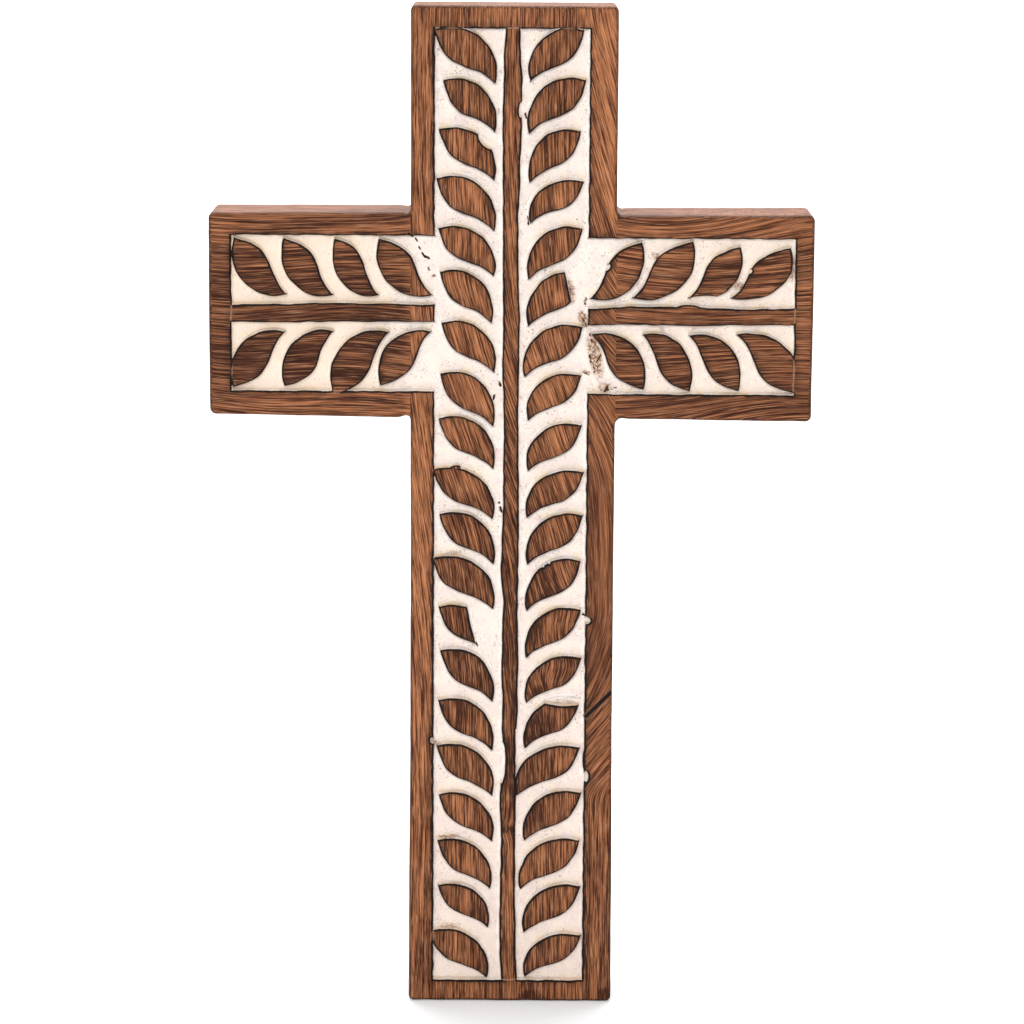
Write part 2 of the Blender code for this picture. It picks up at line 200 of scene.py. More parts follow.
# Knots that the figure bends round: X, Z, reach, and how far it is pushed aside
KNOTS = ((16, -88, 7, -3), (17, -106, 6, -3), (6, -110, 6, 2), (-1, -158, 3, 1.2), (-16, 12, 8, 1.6),
         (28, -38, 9, 2))

# How far from a line its distance is known, and the size of a block of spots
# that are measured together
REACH = 6.0
BLOCK = 8.0

# How a cut line is made: the sines in a hand's waver, and the cosine of a turn
# from which a corner gets a fan of points
SINES = 12
SHARP_TURN = 0.85

# Rows of points beside a cut line as distances into the ground, across a line
# scored in wood, and inside the rim
CUT_ROWS = (-0.8, -0.35, -0.12, 0.2, 0.4, 0.75)
SCORE_ROWS = (-0.35, -0.17, 0.0, 0.17, 0.35)
RIM_ROWS = (0.08, 0.3, 0.6, 1.0, 1.5)

# How far a point on a line, or beside one, may be from where it should lie
ON_LINE = 0.02
BESIDE_LINE = 0.07

# The cells that hold one point each, beside the lines and in the fields
LINE_CELL = 0.1
FIELD_CELL = 0.45

# How far a field's points stay from the rim, and from a cut on either side
RIM_CLEAR = 2.0
WOOD_CLEAR = 1.15
GROUND_CLEAR = 1.1

# Fields of loose points, and the step between them: the whole cross, and finer
# ones round the stains, the crack and the scratches. The rows' distance and the
# points' straying are shares of the step
FIELDS = (((-92, 92, -214, 93), 1.1), ((17, 33, -26, 4), 0.55), ((21, 31, -125, -112), 0.5),
          ((-33, -24, 13, 26), 0.5))
ROW_SHARE = 0.87
STRAY_SHARE = 0.12

# The wall from wood down to ground: distance into the ground as a share of the
# wall's lean, and depth as a share of the ground's
WALL_PROFILE = ((-1, 0), (-0.6, 0.006), (-0.3, 0.025), (0, 0.075), (0.5, 0.5), (1, 0.925), (2.2, 1))

# Depth of a scored line, and of the waves in the ground and on the wood
SCORE_DEPTH = 0.22
GROUND_WAVE = 0.07
FACE_WAVE = 0.02

# A glued joint: how far up and down it reaches, the strip at each side without
# loose points, the row of points beside it, the step along it and its depth
JOINT_REACH = 34
JOINT_CLEAR = 0.09
JOINT_ROW = 0.12
JOINT_STEP = 0.25
JOINT_DEPTH = 0.03

# The level below which the post's sides are free
BELOW_ARMS = -40

# How sanding draws the outline in: the step between its points, by how much, how
# far that wavers, the lengths of its waves, and the limits of what they add
RIM_STEP = 0.8
SANDED = 0.06
SAND_WAVER = 0.05
SAND_SPANS = (8, 90)
SAND_LIMITS = (-0.035, 0.05)

# The plain sides and back: rows of points down a side, the grid of a back, and
# the nail hole's points round, bevel and rows
SIDE_ROWS = 7
BACK_STEP = 5.0
HOLE_POINTS = 40
HOLE_BEVEL = 0.3
HOLE_ROWS = (HOLE_BEVEL, 4, 8, NAIL_DEPTH)


def metres(name, description, default, low, high):
    """A length that a user may change."""
    return bpy.props.FloatProperty(name=name, description=description, default=default, min=low, max=high,
                                   unit="LENGTH", subtype="DISTANCE")


def tint(name, description, default):
    """A colour that a user may change."""
    return bpy.props.FloatVectorProperty(name=name, description=description, default=default, size=3,
                                         min=0, max=1, subtype="COLOR")


def watts(name, description, default):
    """A light's power that a user may change."""
    return bpy.props.FloatProperty(name=name, description=description, default=default, min=0,
                                   unit="POWER")


class CrossShape(bpy.types.PropertyGroup):
    """Sizes of the carving that can change without moving a board."""
    ground_depth: metres("Ground depth", "How deep the ground is cut below the border", 0.002, 0.0005, 0.004)
    wall_lean: metres("Wall lean", "How far a cut wall leans out from top to bottom", 0.0004, 0.0001, 0.001)
    edge_round: metres("Edge rounding", "Radius of the sanded outer edges", 0.001, 0.0003, 0.003)
    waver: metres("Hand waver", "How far a hand-cut line strays from its drawing", 0.00007, 0.0, 0.0005)
    point_step: metres("Point step", "Distance between points along a cut line", 0.00042, 0.0003, 0.002)
    board_gap: metres("Joint gap", "Width of the open hairline at a glued joint", 0.00001, 0.0, 0.0003)


class CrossColours(bpy.types.PropertyGroup):
    """Colours of the wood and the paint."""
    post_light: tint("Post, light", "Pale streaks of the upright board", (0.50, 0.192, 0.080))
    post_dark: tint("Post, dark", "Dark streaks of the upright board", (0.058, 0.015, 0.005))
    arm_light: tint("Arms, light", "Pale streaks of the two arms", (0.46, 0.174, 0.074))
    arm_dark: tint("Arms, dark", "Dark streaks of the two arms", (0.050, 0.013, 0.005))
    paint: tint("Paint", "Chalky paint in the cut ground", (0.915, 0.785, 0.72))
    # The scorch colour paints the burn beside the cuts, and also the painted shade where the burnt line runs
    # on under edges that face down and along the outer rim
    scorch: tint("Scorch", "Burnt edge beside every cut", (0.008, 0.004, 0.003))


class CrossStudio(bpy.types.PropertyGroup):
    """The floor and the lights."""
    floor: tint("Floor", "Colour of the floor and the sweep behind it", (0.78, 0.78, 0.79))
    top_light: watts("Top light", "Power of the soft light overhead", 25.0)
    front_light: watts("Front light", "Power of the soft light beside the camera", 19.0)


def arm_levels(side):
    """Lower and upper edge of one arm."""
    return ARM_SHIFT[side] - ARM_HEIGHT / 2, ARM_SHIFT[side] + ARM_HEIGHT / 2


def post_panel():
    """The post's part of the ground: left and right X, lower and upper Z."""
    return (-HALF_POST + SIDE_BORDER["left"], HALF_POST - SIDE_BORDER["right"],
            -FOOT_HEIGHT + FOOT_BORDER, HEAD_HEIGHT - TOP_BORDER)


def arm_panel(side):
    """The arm's part of the ground: inner and outer X, lower and upper Z."""
    low, high = arm_levels(side)
    inner = SIDES[side] * (HALF_POST - SIDE_BORDER[side])
    outer = SIDES[side] * (HALF_POST + ARM_LENGTH[side] - END_BORDER[side])
    return inner, outer, low + ARM_FOOT_BORDER, high - ARM_TOP_BORDER


def cross_corners(foot, top, xs, arm_xs, levels):
    """The twelve corners of a cross, from the foot's left corner round."""
    (left, right), (arm_left, arm_right) = xs, arm_xs
    (l_low, l_high), (r_low, r_high) = levels
    return [(left, foot), (right, foot), (right, r_low), (arm_right, r_low),
            (arm_right, r_high), (right, r_high), (right, top), (left, top),
            (left, l_high), (arm_left, l_high), (arm_left, l_low), (left, l_low)]


def rounded(corners, radii):
    """Knots of a closed outline whose square corners are rounded."""
    rest = 1 - 4 / 3 * math.tan(math.pi / 8)
    outline = []
    for number, ((x, z), radius) in enumerate(zip(corners, radii)):
        if radius == 0:
            outline.append(((x, z), None, None))
            continue
        ends = []
        for other in (corners[number - 1], corners[(number + 1) % len(corners)]):
            length = math.dist((x, z), other)
            ends.append(((other[0] - x) / length, (other[1] - z) / length))
        (in_x, in_z), (out_x, out_z) = ends
        pull = radius * rest
        outline.append(((x + in_x * radius, z + in_z * radius), None,
                        (x + in_x * pull, z + in_z * pull)))
        outline.append(((x + out_x * radius, z + out_z * radius),
                        (x + out_x * pull, z + out_z * pull), None))
    return outline


def blank_outline():
    """The cross as it is glued up and shaped: its outline with rounded corners."""
    levels = [arm_levels(side) for side in SIDES]
    arm_xs = [sign * (HALF_POST + ARM_LENGTH[side]) for side, sign in SIDES.items()]
    corners = cross_corners(-FOOT_HEIGHT, HEAD_HEIGHT, (-HALF_POST, HALF_POST), arm_xs, levels)
    left, right = INNER_FILLET["left"], INNER_FILLET["right"]
    radii = [POST_CORNER, POST_CORNER, right, ARM_CORNER, ARM_CORNER, right,
             POST_CORNER, POST_CORNER, left, ARM_CORNER, ARM_CORNER, left]
    return rounded(corners, radii)


def panel_outline():
    """The edge of the ground, a cross with square corners."""
    left, right, low, high = post_panel()
    panels = [arm_panel(side) for side in SIDES]
    corners = cross_corners(low, high, (left, right), [panel[1] for panel in panels],
                            [panel[2:] for panel in panels])
    return rounded(corners, [0] * len(corners))


def blossom(points, shares):
    """A point of a Bezier curve's polar form, one share for each step."""
    for share in shares:
        points = [(a[0] + (b[0] - a[0]) * share, a[1] + (b[1] - a[1]) * share)
                  for a, b in zip(points, points[1:])]
    return points[0]


def stretch_of(curve, start, end):
    """Control points of the stretch of a cubic curve between two shares."""
    return [blossom(curve, pick) for pick in ((start,) * 3, (start, start, end),
                                              (start, end, end), (end,) * 3)]


def leaf_outline(place, keep):
    """A pointed leaf, or what a slip left of it, as knots with handles.

    The front curve runs from the base to the tip, the rear curve back again.
    """
    front = [place(share) for share in ((0, 0), *FRONT_SHARES, (1, 1))]
    rear = [place(share) for share in ((1, 1), *REAR_SHARES, (0, 0))]
    front = stretch_of(front, *keep[0])
    rear = stretch_of(rear, *keep[1])
    if keep[0][1] == 1:
        tip = [(front[3], front[2], rear[1])]
    else:
        tip = [(front[3], front[2], None), (rear[0], None, rear[1])]
    if keep[0][0] == 0:
        return [(front[0], rear[2], front[1])] + tip
    return [(front[0], None, front[1])] + tip + [(rear[3], rear[2], None)]


def leaf_row(key, start, length, along, out, reach, hand):
    """Leaves spread evenly in a row, the one at the far end first."""
    room = length - CROWN_SHARE * LEAF_RISE - ROW_START + CROWN_LAP
    count = max(1, 1 + round(room / LEAF_PITCH))
    pitch = room / max(1, count - 1)
    row = []
    for number in range(count):
        step = ROW_START + pitch * (count - 1 - number) + hand.uniform(-1, 1) * HAND_SLIP
        sink = RUNS_INTO_STEM.get((key, number), 0) - hand.uniform(-1, 1) * HAND_SLIP / 2
        rise = LEAF_RISE + hand.uniform(-1, 1) * HAND_SLIP
        tip = reach + RUNS_INTO_BORDER.get((key, number), hand.uniform(-1, 1) * HAND_SLIP)
        stray = STRAYS[key].get(number, (0, 0, 0, 0))
        step, rise, sink, tip = step + stray[0], rise + stray[1], sink - stray[2], tip + stray[3]

        def place(share):
            u = step + share[0] * rise
            w = share[1] * tip - (1 - share[1]) * sink
            return start[0] + along[0] * u + out[0] * w, start[1] + along[1] * u + out[1] * w

        keep = KEPT_SHARES.get((key, number), ((0, 1), (0, 1)))
        row.append(leaf_outline(place, keep))
    return row


def post_leaves(hand):
    """Both columns of leaves beside the stem."""
    left, right, low, high = post_panel()
    reach = (right - left - STEM_WIDTH) / 2 - BASE_GAP - TIP_GAP
    leaves = []
    for side, sign in SIDES.items():
        start = ((left + right) / 2 + sign * (STEM_WIDTH / 2 + BASE_GAP), low)
        leaves += leaf_row(side, start, high - low, (0, 1), (sign, 0), reach, hand)
    return leaves


def arm_leaves(side, hand):
    """The rows of leaves above and below one arm's bar."""
    inner, outer, low, high = arm_panel(side)
    reach = (high - low - BAR_WIDTH) / 2 - BASE_GAP - TIP_GAP
    length = abs(outer - inner) - CROWN_LAP - TIP_GAP
    leaves = []
    for row, out in (("upper", 1), ("lower", -1)):
        start = (inner, (low + high) / 2 + out * (BAR_WIDTH / 2 + BASE_GAP))
        leaves += leaf_row(f"{side} {row}", start, length, (SIDES[side], 0), (0, out),
                           reach, hand)
    return leaves


def strip_outline(start, end, width, hand):
    """A straight strip whose two long edges stray a little, in smooth waves."""
    length = math.dist(start, end)
    along = ((end[0] - start[0]) / length, (end[1] - start[1]) / length)
    out = (-along[1], along[0])
    count = max(2, round(length / LEAF_PITCH))
    lead = length / count / 3

    def place(u, w):
        return start[0] + along[0] * u + out[0] * w, start[1] + along[1] * u + out[1] * w

    outline = []
    for side in (-1, 1):
        edge = []
        for number in range(count + 1):
            w = side * width / 2 + hand.uniform(-1, 1) * HAND_SLIP
            u = length * number / count
            edge.append((place(u, w), place(u - lead, w), place(u + lead, w)))
        edge[0] = (edge[0][0], None, edge[0][2])
        edge[-1] = (edge[-1][0], edge[-1][1], None)
        if side > 0:
            edge = [(point, after, before) for point, before, after in reversed(edge)]
        outline += edge
    return outline


def strips(hand):
    """The stem and the two bars. Each runs a little way into the border."""
    left, right, low, high = post_panel()
    middle = (left + right) / 2
    lines = [strip_outline((middle, low - PROUD), (middle, high + PROUD), STEM_WIDTH, hand)]
    for side, sign in SIDES.items():
        inner, outer, foot, top = arm_panel(side)
        level = (foot + top) / 2
        lines.append(strip_outline((inner, level), (outer + sign * PROUD, level),
                                   BAR_WIDTH, hand))
    return lines


def slip_outline(x, z, half_wide, half_high, tilt):
    """An oval as four knots, for a slip of the gouge or a bit left standing."""
    turn = math.radians(tilt)
    along = (math.cos(turn) * half_wide, math.sin(turn) * half_wide)
    up = (-math.sin(turn) * half_high, math.cos(turn) * half_high)
    pull = 4 / 3 * math.tan(math.pi / 8)
    knots = []
    for a, b in ((1, 0), (0, 1), (-1, 0), (0, -1)):
        def place(lead):
            return (x + along[0] * (a - b * lead) + up[0] * (b + a * lead),
                    z + along[1] * (a - b * lead) + up[1] * (b + a * lead))
        knots.append((place(0), place(-pull), place(pull)))
    return knots


def unit(vectors):
    """Vectors made one long."""
    return vectors / np.maximum(np.hypot(vectors[..., 0], vectors[..., 1]), 1e-9)[..., None]


def trace(knots, step):
    """Points at even steps along a closed outline of Bezier and straight stretches.

    Each cubic is read at 65 shares, and points are spaced evenly along that.
    """
    share = np.linspace(0, 1, 65)[:, None]
    rows = []
    for (start, _, leave), (end, arrive, _) in zip(knots, knots[1:] + knots[:1]):
        a, d = np.array(start), np.array(end)
        b = a + (d - a) / 3 if leave is None else np.array(leave)
        c = d + (a - d) / 3 if arrive is None else np.array(arrive)
        fine = ((1 - share) ** 3 * a + 3 * (1 - share) ** 2 * share * b
                + 3 * (1 - share) * share ** 2 * c + share ** 3 * d)
        length = np.concatenate([[0], np.cumsum(np.hypot(*np.diff(fine, axis=0).T))])
        count = max(2, round(length[-1] / step))
        at = np.arange(count) * length[-1] / count
        rows.append(np.column_stack([np.interp(at, length, fine[:, axis]) for axis in (0, 1)]))
    points = np.concatenate(rows)
    ahead = np.roll(points, -1, 0)
    turns_left = np.sum(points[:, 0] * ahead[:, 1] - points[:, 1] * ahead[:, 0]) > 0
    return points if turns_left else points[::-1].copy()


def out_of(points):
    """Normals that point out of a closed outline, at its stretches and its points."""
    run = np.roll(points, -1, 0) - points
    stretch = unit(np.column_stack([run[:, 1], -run[:, 0]]))
    return stretch, unit(stretch + np.roll(stretch, 1, 0))


def unevenness(points, size, spans, rng):
    """Smooth wander along a closed outline: sines of many lengths between two spans.

    Each sine fits the outline a whole number of times, and a longer one swings
    further, as the square root of its length.
    """
    run = np.hypot(*(np.roll(points, -1, 0) - points).T)
    at = np.concatenate([[0], np.cumsum(run)[:-1]]) / run.sum()
    total = np.zeros(len(points))
    for span in np.exp(rng.uniform(np.log(spans[0]), np.log(spans[1]), SINES)):
        turns = max(1, round(run.sum() / span))
        swing = math.sqrt(span / spans[1])
        total += swing * np.sin(2 * math.pi * (turns * at + rng.uniform(0, 1)))
    return total * size / 2


class CutLine:
    """A closed line cut by hand: its points, and the way to the ground from it."""

    def __init__(self, outline, ground_outside, shape, rng):
        points = trace(outline, shape.point_step * 1000)
        _, normal = out_of(points)
        shift = unevenness(points, shape.waver * 1000, (4.0, 18.0), rng)
        self.points = points + normal * shift[:, None]
        self.ground = 1 if ground_outside else -1
        stretch, normal = out_of(self.points)
        self.stretch, self.normal = stretch * self.ground, normal * self.ground

    def row(self, offset):
        """Points beside the line. Round a corner they fan out between its two normals."""
        before = np.roll(self.stretch, 1, 0)
        sharp = (before * self.stretch).sum(1) < SHARP_TURN
        rows = [self.points[~sharp] + self.normal[~sharp] * offset]
        for share in (0.0, 0.25, 0.5, 0.75, 1.0):
            way = unit(before[sharp] * (1 - share) + self.stretch[sharp] * share)
            rows.append(self.points[sharp] + way * offset)
        return np.concatenate(rows)

    def gap(self, spots, far):
        """Distance of each spot from the line, positive on the ground side.

        Spots are measured in square blocks, each against the stretches near it.
        The nearest point of the nearest stretch gives the distance. The normal
        there gives the side. Spots beyond reach keep the given far value. The
        second result is the way that the distance grows.
        """
        run = np.roll(self.points, -1, 0) - self.points
        low = np.minimum(self.points, self.points + run)
        high = np.maximum(self.points, self.points + run)
        gap = np.array(np.broadcast_to(far, len(spots)), float) * REACH
        way = np.zeros((len(spots), 2))
        near = np.flatnonzero(((spots > low.min(0) - REACH) & (spots < high.max(0) + REACH)).all(1))
        block = np.floor(spots[near] / BLOCK).astype(int)
        for place in np.unique(block, axis=0):
            picked = near[(block == place).all(1)]
            seen = np.flatnonzero(((high > place * BLOCK - REACH)
                                   & (low < (place + 1) * BLOCK + REACH)).all(1))
            if len(seen) == 0:
                continue
            away = spots[picked, None] - self.points[seen]
            share = np.clip((away * run[seen]).sum(-1) / (run[seen] ** 2).sum(-1), 0, 1)
            away = away - share[..., None] * run[seen]
            length = np.hypot(away[..., 0], away[..., 1])
            best = length.argmin(1)
            line = np.arange(len(picked))
            away, share, length = away[line, best], share[line, best], length[line, best]
            stretch = seen[best]
            normal = np.where((share > 0)[:, None], self.stretch[stretch], self.normal[stretch])
            ahead = self.normal[(stretch + 1) % len(self.points)]
            normal = np.where((share < 1)[:, None], normal, ahead)
            side = np.where((away * normal).sum(1) < 0, -1.0, 1.0)
            reached = length < REACH
            gap[picked[reached]] = (side * length)[reached]
            grow = np.where((length > 1e-4)[:, None], unit(away) * side[:, None], normal)
            way[picked[reached]] = grow[reached]
        return gap, way


class Carving:
    """Every cut line of the front, and what they make of a spot on it."""

    def __init__(self, shape):
        hand = random.Random(SEED)
        rng = np.random.default_rng(SEED)
        woods = post_leaves(hand) + arm_leaves("left", hand) + arm_leaves("right", hand)
        woods += strips(hand)
        self.panel = CutLine(panel_outline(), False, shape, rng)
        self.woods = [CutLine(outline, True, shape, rng) for outline in woods]
        self.slips = [CutLine(slip_outline(*slip[:5]), slip[5] < 0, shape, rng) for slip in SLIPS]
        self.kinds = [slip[5] for slip in SLIPS]
        self.outline = CutLine(blank_outline(), False, shape, rng)

    def read(self, spots):
        """Distance into the ground, the upward share of its way, and the panel and wood gaps."""
        left, right, low, high = post_panel()
        x, z = spots.T
        inside = (x > left) & (x < right) & (z > low) & (z < high)
        for side in SIDES:
            inner, outer, foot, top = arm_panel(side)
            inside |= (x > min(inner, outer)) & (x < max(inner, outer)) & (z > foot) & (z < top)
        panel, way = self.panel.gap(spots, np.where(inside, 1.0, -1.0))
        up = way[:, 1]
        wood = np.full(len(spots), REACH)
        ground = panel.copy()
        for line in self.woods:
            gap, way = line.gap(spots, 1.0)
            wood = np.minimum(wood, gap)
            up = np.where(gap < ground, way[:, 1], up)
            ground = np.minimum(ground, gap)
        for line, kind in zip(self.slips, self.kinds):
            gap, way = line.gap(spots, -1.0 if kind > 0 else 1.0)
            closer = gap > ground if kind > 0 else gap < ground
            up = np.where(closer, way[:, 1], up)
            ground = np.where(closer, gap, ground)
        return ground, up, panel, wood


def relief(x, z, spans, rng, count=16):
    """A smooth random height over X and Z: plane waves in all directions, about one high."""
    total = np.zeros_like(x)
    for span in np.exp(rng.uniform(np.log(spans[0]), np.log(spans[1]), count)):
        turn, phase = rng.uniform(0, 2 * math.pi, 2)
        total += np.sin(2 * math.pi / span * (x * math.cos(turn) + z * math.sin(turn)) + phase)
    return total / math.sqrt(count)


def smooth(value, start, end):
    """Zero below start, one above end, and a smooth step between."""
    share = np.clip((value - start) / (end - start), 0, 1)
    return share * share * (3 - 2 * share)


def oval(spots, x, z, half_wide, half_high, tilt):
    """How far out each spot lies in a tilted oval: nought in its middle, one on its edge."""
    turn = math.radians(tilt)
    away = spots - np.array([x, z])
    along = away[:, 0] * math.cos(turn) + away[:, 1] * math.sin(turn)
    up = away[:, 1] * math.cos(turn) - away[:, 0] * math.sin(turn)
    return np.hypot(along / half_wide, up / half_high)


def to_stretch(spots, start, end):
    """Distance of each spot from a straight stretch."""
    start, run = np.array(start), np.array(end) - np.array(start)
    share = np.clip((spots - start) @ run / (run @ run), 0, 1)
    return np.hypot(*(spots - start - share[:, None] * run).T)


def figure_of(spots, board):
    """How the board's figure leans, by the part of the board it lies in.

    The post's lean is summed from the foot up, for each of its parts, and a knot
    pushes the figure aside round it. An arm has one slow wave all over.
    """
    x, z = spots.T
    if board != "post":
        wave = relief(x, z, (60, 160), np.random.default_rng(SEED + len(board)), 6)
        return {f"lean_{part}": ARM_WAVE * wave for part in LEANS}
    level = np.arange(-FOOT_HEIGHT - 1, HEAD_HEIGHT + 2)
    push = sum(far * np.exp(-((x - knot_x) ** 2 + (z - knot_z) ** 2) / reach ** 2)
               for knot_x, knot_z, reach, far in KNOTS)
    figure = {}
    for part, rows in LEANS.items():
        lean = np.interp(level, *np.array(rows).T)
        figure[f"lean_{part}"] = np.interp(z, level, np.cumsum(lean)) + push
    return figure


def front_of(spots, carving, shape, board):
    """The front's depth behind its plane, and the values that its materials read.

    Depth is the sum of the rounded outer edge, the slope from wood to ground,
    the scored line where wood runs over the panel's edge, scars, and slight
    waves. It never comes out in front of the plane.
    """
    x, z = spots.T
    rng = np.random.default_rng(SEED + 1)
    rim, _ = carving.outline.gap(spots, 1.0)
    ground, up, panel, wood = carving.read(spots)
    radius = shape.edge_round * 1000 * (1.12 + 0.16 * relief(x, z, (6, 40), rng))
    bend = np.clip(1 - rim / radius, 0, 1)
    depth = radius * (1 - np.sqrt(1 - bend ** 2))
    lean = shape.wall_lean * 1000
    full = shape.ground_depth * 1000
    depth += full * np.interp(ground / lean, *zip(*WALL_PROFILE))
    score = np.exp(-(panel / 0.2) ** 2) * smooth(-wood, 0.1, 0.5) * smooth(-ground, 0.1, 0.4)
    depth += SCORE_DEPTH * score
    depth += GROUND_WAVE * relief(x, z, (2.6, 9), rng) * smooth(ground, 0.3, 1.0)
    depth += (FACE_WAVE * (1 + relief(x, z, (5, 25), rng)) * smooth(rim, 0.8, 2.5)
              * smooth(-ground, 0.3, 1.2))
    mark = np.zeros(len(spots))
    for x1, z1, x2, z2, wide, deep, dark in SCARS:
        near = np.exp(-(to_stretch(spots, (x1, z1), (x2, z2)) / wide) ** 2)
        depth += deep * near
        mark = np.maximum(mark, dark * near)
    stain = np.zeros(len(spots))
    for *place, strength in STAINS:
        stain = np.maximum(stain, strength * smooth(-oval(spots, *place), -1.2, -0.5))
    # The patches lighten or darken the wood; among them are a painted shadow along the foot and a painted
    # highlight beside the crack
    light, calm = np.zeros(len(spots)), np.zeros(len(spots))
    for *place, lighter, calmer in PATCHES:
        share = smooth(-oval(spots, *place), -1.25, -0.6)
        light += lighter * share
        calm += calmer * share
    values = {"cut": np.clip(ground, -REACH, REACH), "up": up, "rim": np.clip(rim, 0, 4),
              "score": score, "mark": mark, "stain": stain, "light": light, "calm": calm,
              **figure_of(spots, board)}
    return np.maximum(depth, 0.0), values


def thin_out(spots, taken, cell):
    """Spots with at most one in each square cell, and none in a cell that is taken."""
    keys = np.floor(spots / cell).astype(np.int64) @ np.array([1 << 20, 1])
    used = np.floor(taken / cell).astype(np.int64) @ np.array([1 << 20, 1])
    _, first = np.unique(keys, return_index=True)
    first = np.sort(first)
    return spots[first[~np.isin(keys[first], used)]]


def carved_spots(carving):
    """Spots on every cut line, the ties between neighbours among them, and spots beside the lines."""
    line_spots, ties, beside = [], [], []
    count = 0
    lines = [carving.panel] + carving.woods + carving.slips
    ground, _, _, _ = carving.read(np.concatenate([line.points for line in lines]))
    start = 0
    for line in lines:
        size = len(line.points)
        on = np.flatnonzero(np.abs(ground[start:start + size]) < ON_LINE)
        start += size
        following = np.isin((on + 1) % size, on)
        place = np.full(size, -1)
        place[on] = count + np.arange(len(on))
        first = on[following]
        ties += list(zip(place[first].tolist(), place[(first + 1) % size].tolist()))
        line_spots.append(line.points[on])
        count += len(on)
    for offset in CUT_ROWS:
        spots = np.concatenate([line.row(offset) for line in lines])
        ground, _, _, _ = carving.read(spots)
        beside.append(spots[np.abs(ground - offset) < BESIDE_LINE])
    for offset in SCORE_ROWS:
        spots = carving.panel.row(offset)
        ground, _, _, wood = carving.read(spots)
        beside.append(spots[(wood < -0.15) & (ground < -0.15)])
    line_spots = np.concatenate(line_spots)
    return line_spots, ties, thin_out(np.concatenate(beside), line_spots, LINE_CELL)


def open_spots(carving, rng):
    """Spots spread over what lies between the cut lines and inside the rim."""
    spots = []
    for (low_x, high_x, low_z, high_z), step in FIELDS:
        x, z = np.meshgrid(np.arange(low_x, high_x, step), np.arange(low_z, high_z, step * ROW_SHARE))
        x[1::2] += step / 2
        spots.append(np.column_stack([x.ravel(), z.ravel()]))
        spots[-1] += rng.uniform(-STRAY_SHARE, STRAY_SHARE, spots[-1].shape) * step
    spots = np.concatenate(spots[::-1])
    spots = thin_out(spots, np.zeros((0, 2)), FIELD_CELL)
    rim, _ = carving.outline.gap(spots, 0.0)
    x, z = spots.T
    in_post = (np.abs(x) < HALF_POST) & (z > -FOOT_HEIGHT) & (z < HEAD_HEIGHT)
    in_cross = in_post | (np.abs(z) < ARM_HEIGHT / 2)
    rim = np.where((rim == 0) & in_cross, REACH, rim)
    ground, _, _, _ = carving.read(spots)
    return spots[(rim > RIM_CLEAR) & ((ground > GROUND_CLEAR) | (ground < -WOOD_CLEAR))]


def clip_off(points, keep, cut):
    """The stretch of a closed outline where keep holds, closed along an upright line at cut.

    The two new end points lie where the outline crosses the line, and points
    at even steps fill the line between them.
    """
    start = np.flatnonzero(keep & ~np.roll(keep, 1))[0]
    points, keep = np.roll(points, -start, 0), np.roll(keep, -start)
    run = points[keep]

    def crossing(a, b):
        share = (cut - a[0]) / (b[0] - a[0])
        return np.array([[cut, a[1] + (b[1] - a[1]) * share]])

    first = crossing(points[-1], points[0])
    last = crossing(run[-1], points[keep.sum()])
    count = max(2, round(abs(first[0, 1] - last[0, 1]) / JOINT_STEP))
    share = np.arange(1, count)[:, None] / count
    return np.concatenate([first, run, last, last + (first - last) * share])


def board_edge(carving, board, shape):
    """A board's closed outline: the cross's outline up to its glue lines, and those."""
    points = carving.outline.points
    gap = shape.board_gap * 1000 / 2
    if board == "post":
        for sign in SIDES.values():
            x, z = points.T
            keep = (x * sign < HALF_POST - gap) | (z < BELOW_ARMS)
            points = clip_off(points, keep, sign * (HALF_POST - gap))
        return points
    sign = SIDES[board]
    x, z = points.T
    keep = (x * sign > HALF_POST + gap) & (z > BELOW_ARMS)
    return clip_off(points, keep, sign * (HALF_POST + gap))


def within(spots, edge):
    """Whether each spot lies inside a closed outline: an odd count of crossings to its right."""
    ahead = np.roll(edge, -1, 0)
    inside = np.zeros(len(spots), bool)
    for picked in np.array_split(np.arange(len(spots)), max(1, len(spots) // 2000)):
        x, z = spots[picked, 0, None], spots[picked, 1, None]
        spans = (edge[:, 1] > z) != (ahead[:, 1] > z)
        rise = np.where(edge[:, 1] == ahead[:, 1], 1, ahead[:, 1] - edge[:, 1])
        cross = edge[:, 0] + (z - edge[:, 1]) / rise * (ahead[:, 0] - edge[:, 0])
        inside[picked] = ((spans & (x < cross)).sum(1) % 2) == 1
    return inside


def triangles(edge, hole, spots, ties):
    """Delaunay triangles over spots inside an outline, less those inside a hole.

    The outline comes first in what is returned, then the hole.
    """
    size, ring = len(edge), len(hole)
    every = np.concatenate([edge, hole, spots])
    edges = [(k, (k + 1) % size) for k in range(size)]
    edges += [(size + k, size + (k + 1) % ring) for k in range(ring)]
    edges += [(a + size + ring, b + size + ring) for a, b in ties]
    found, _, faces, origin, _, _ = delaunay_2d_cdt([Vector(spot) for spot in every.tolist()], edges, [],
                                                    0, 1e-5)
    found = np.array([tuple(point) for point in found])
    faces = np.array(faces)
    came = np.array([min(group, default=len(every)) for group in origin])
    order = np.argsort(came, kind="stable")
    place = np.empty(len(order), int)
    place[order] = np.arange(len(order))
    faces = place[faces]
    found = found[order]
    if not (np.sort(came)[:size + ring] == np.arange(size + ring)).all():
        raise RuntimeError("two points of a board's outline fell together")
    rimmed = (faces < size + ring).all(1)
    middle = found[faces[rimmed]].mean(1)
    good = np.ones(len(faces), bool)
    good[rimmed] = within(middle, edge)
    if ring:
        good[rimmed] &= ~within(middle, hole)
    return found, faces[good]


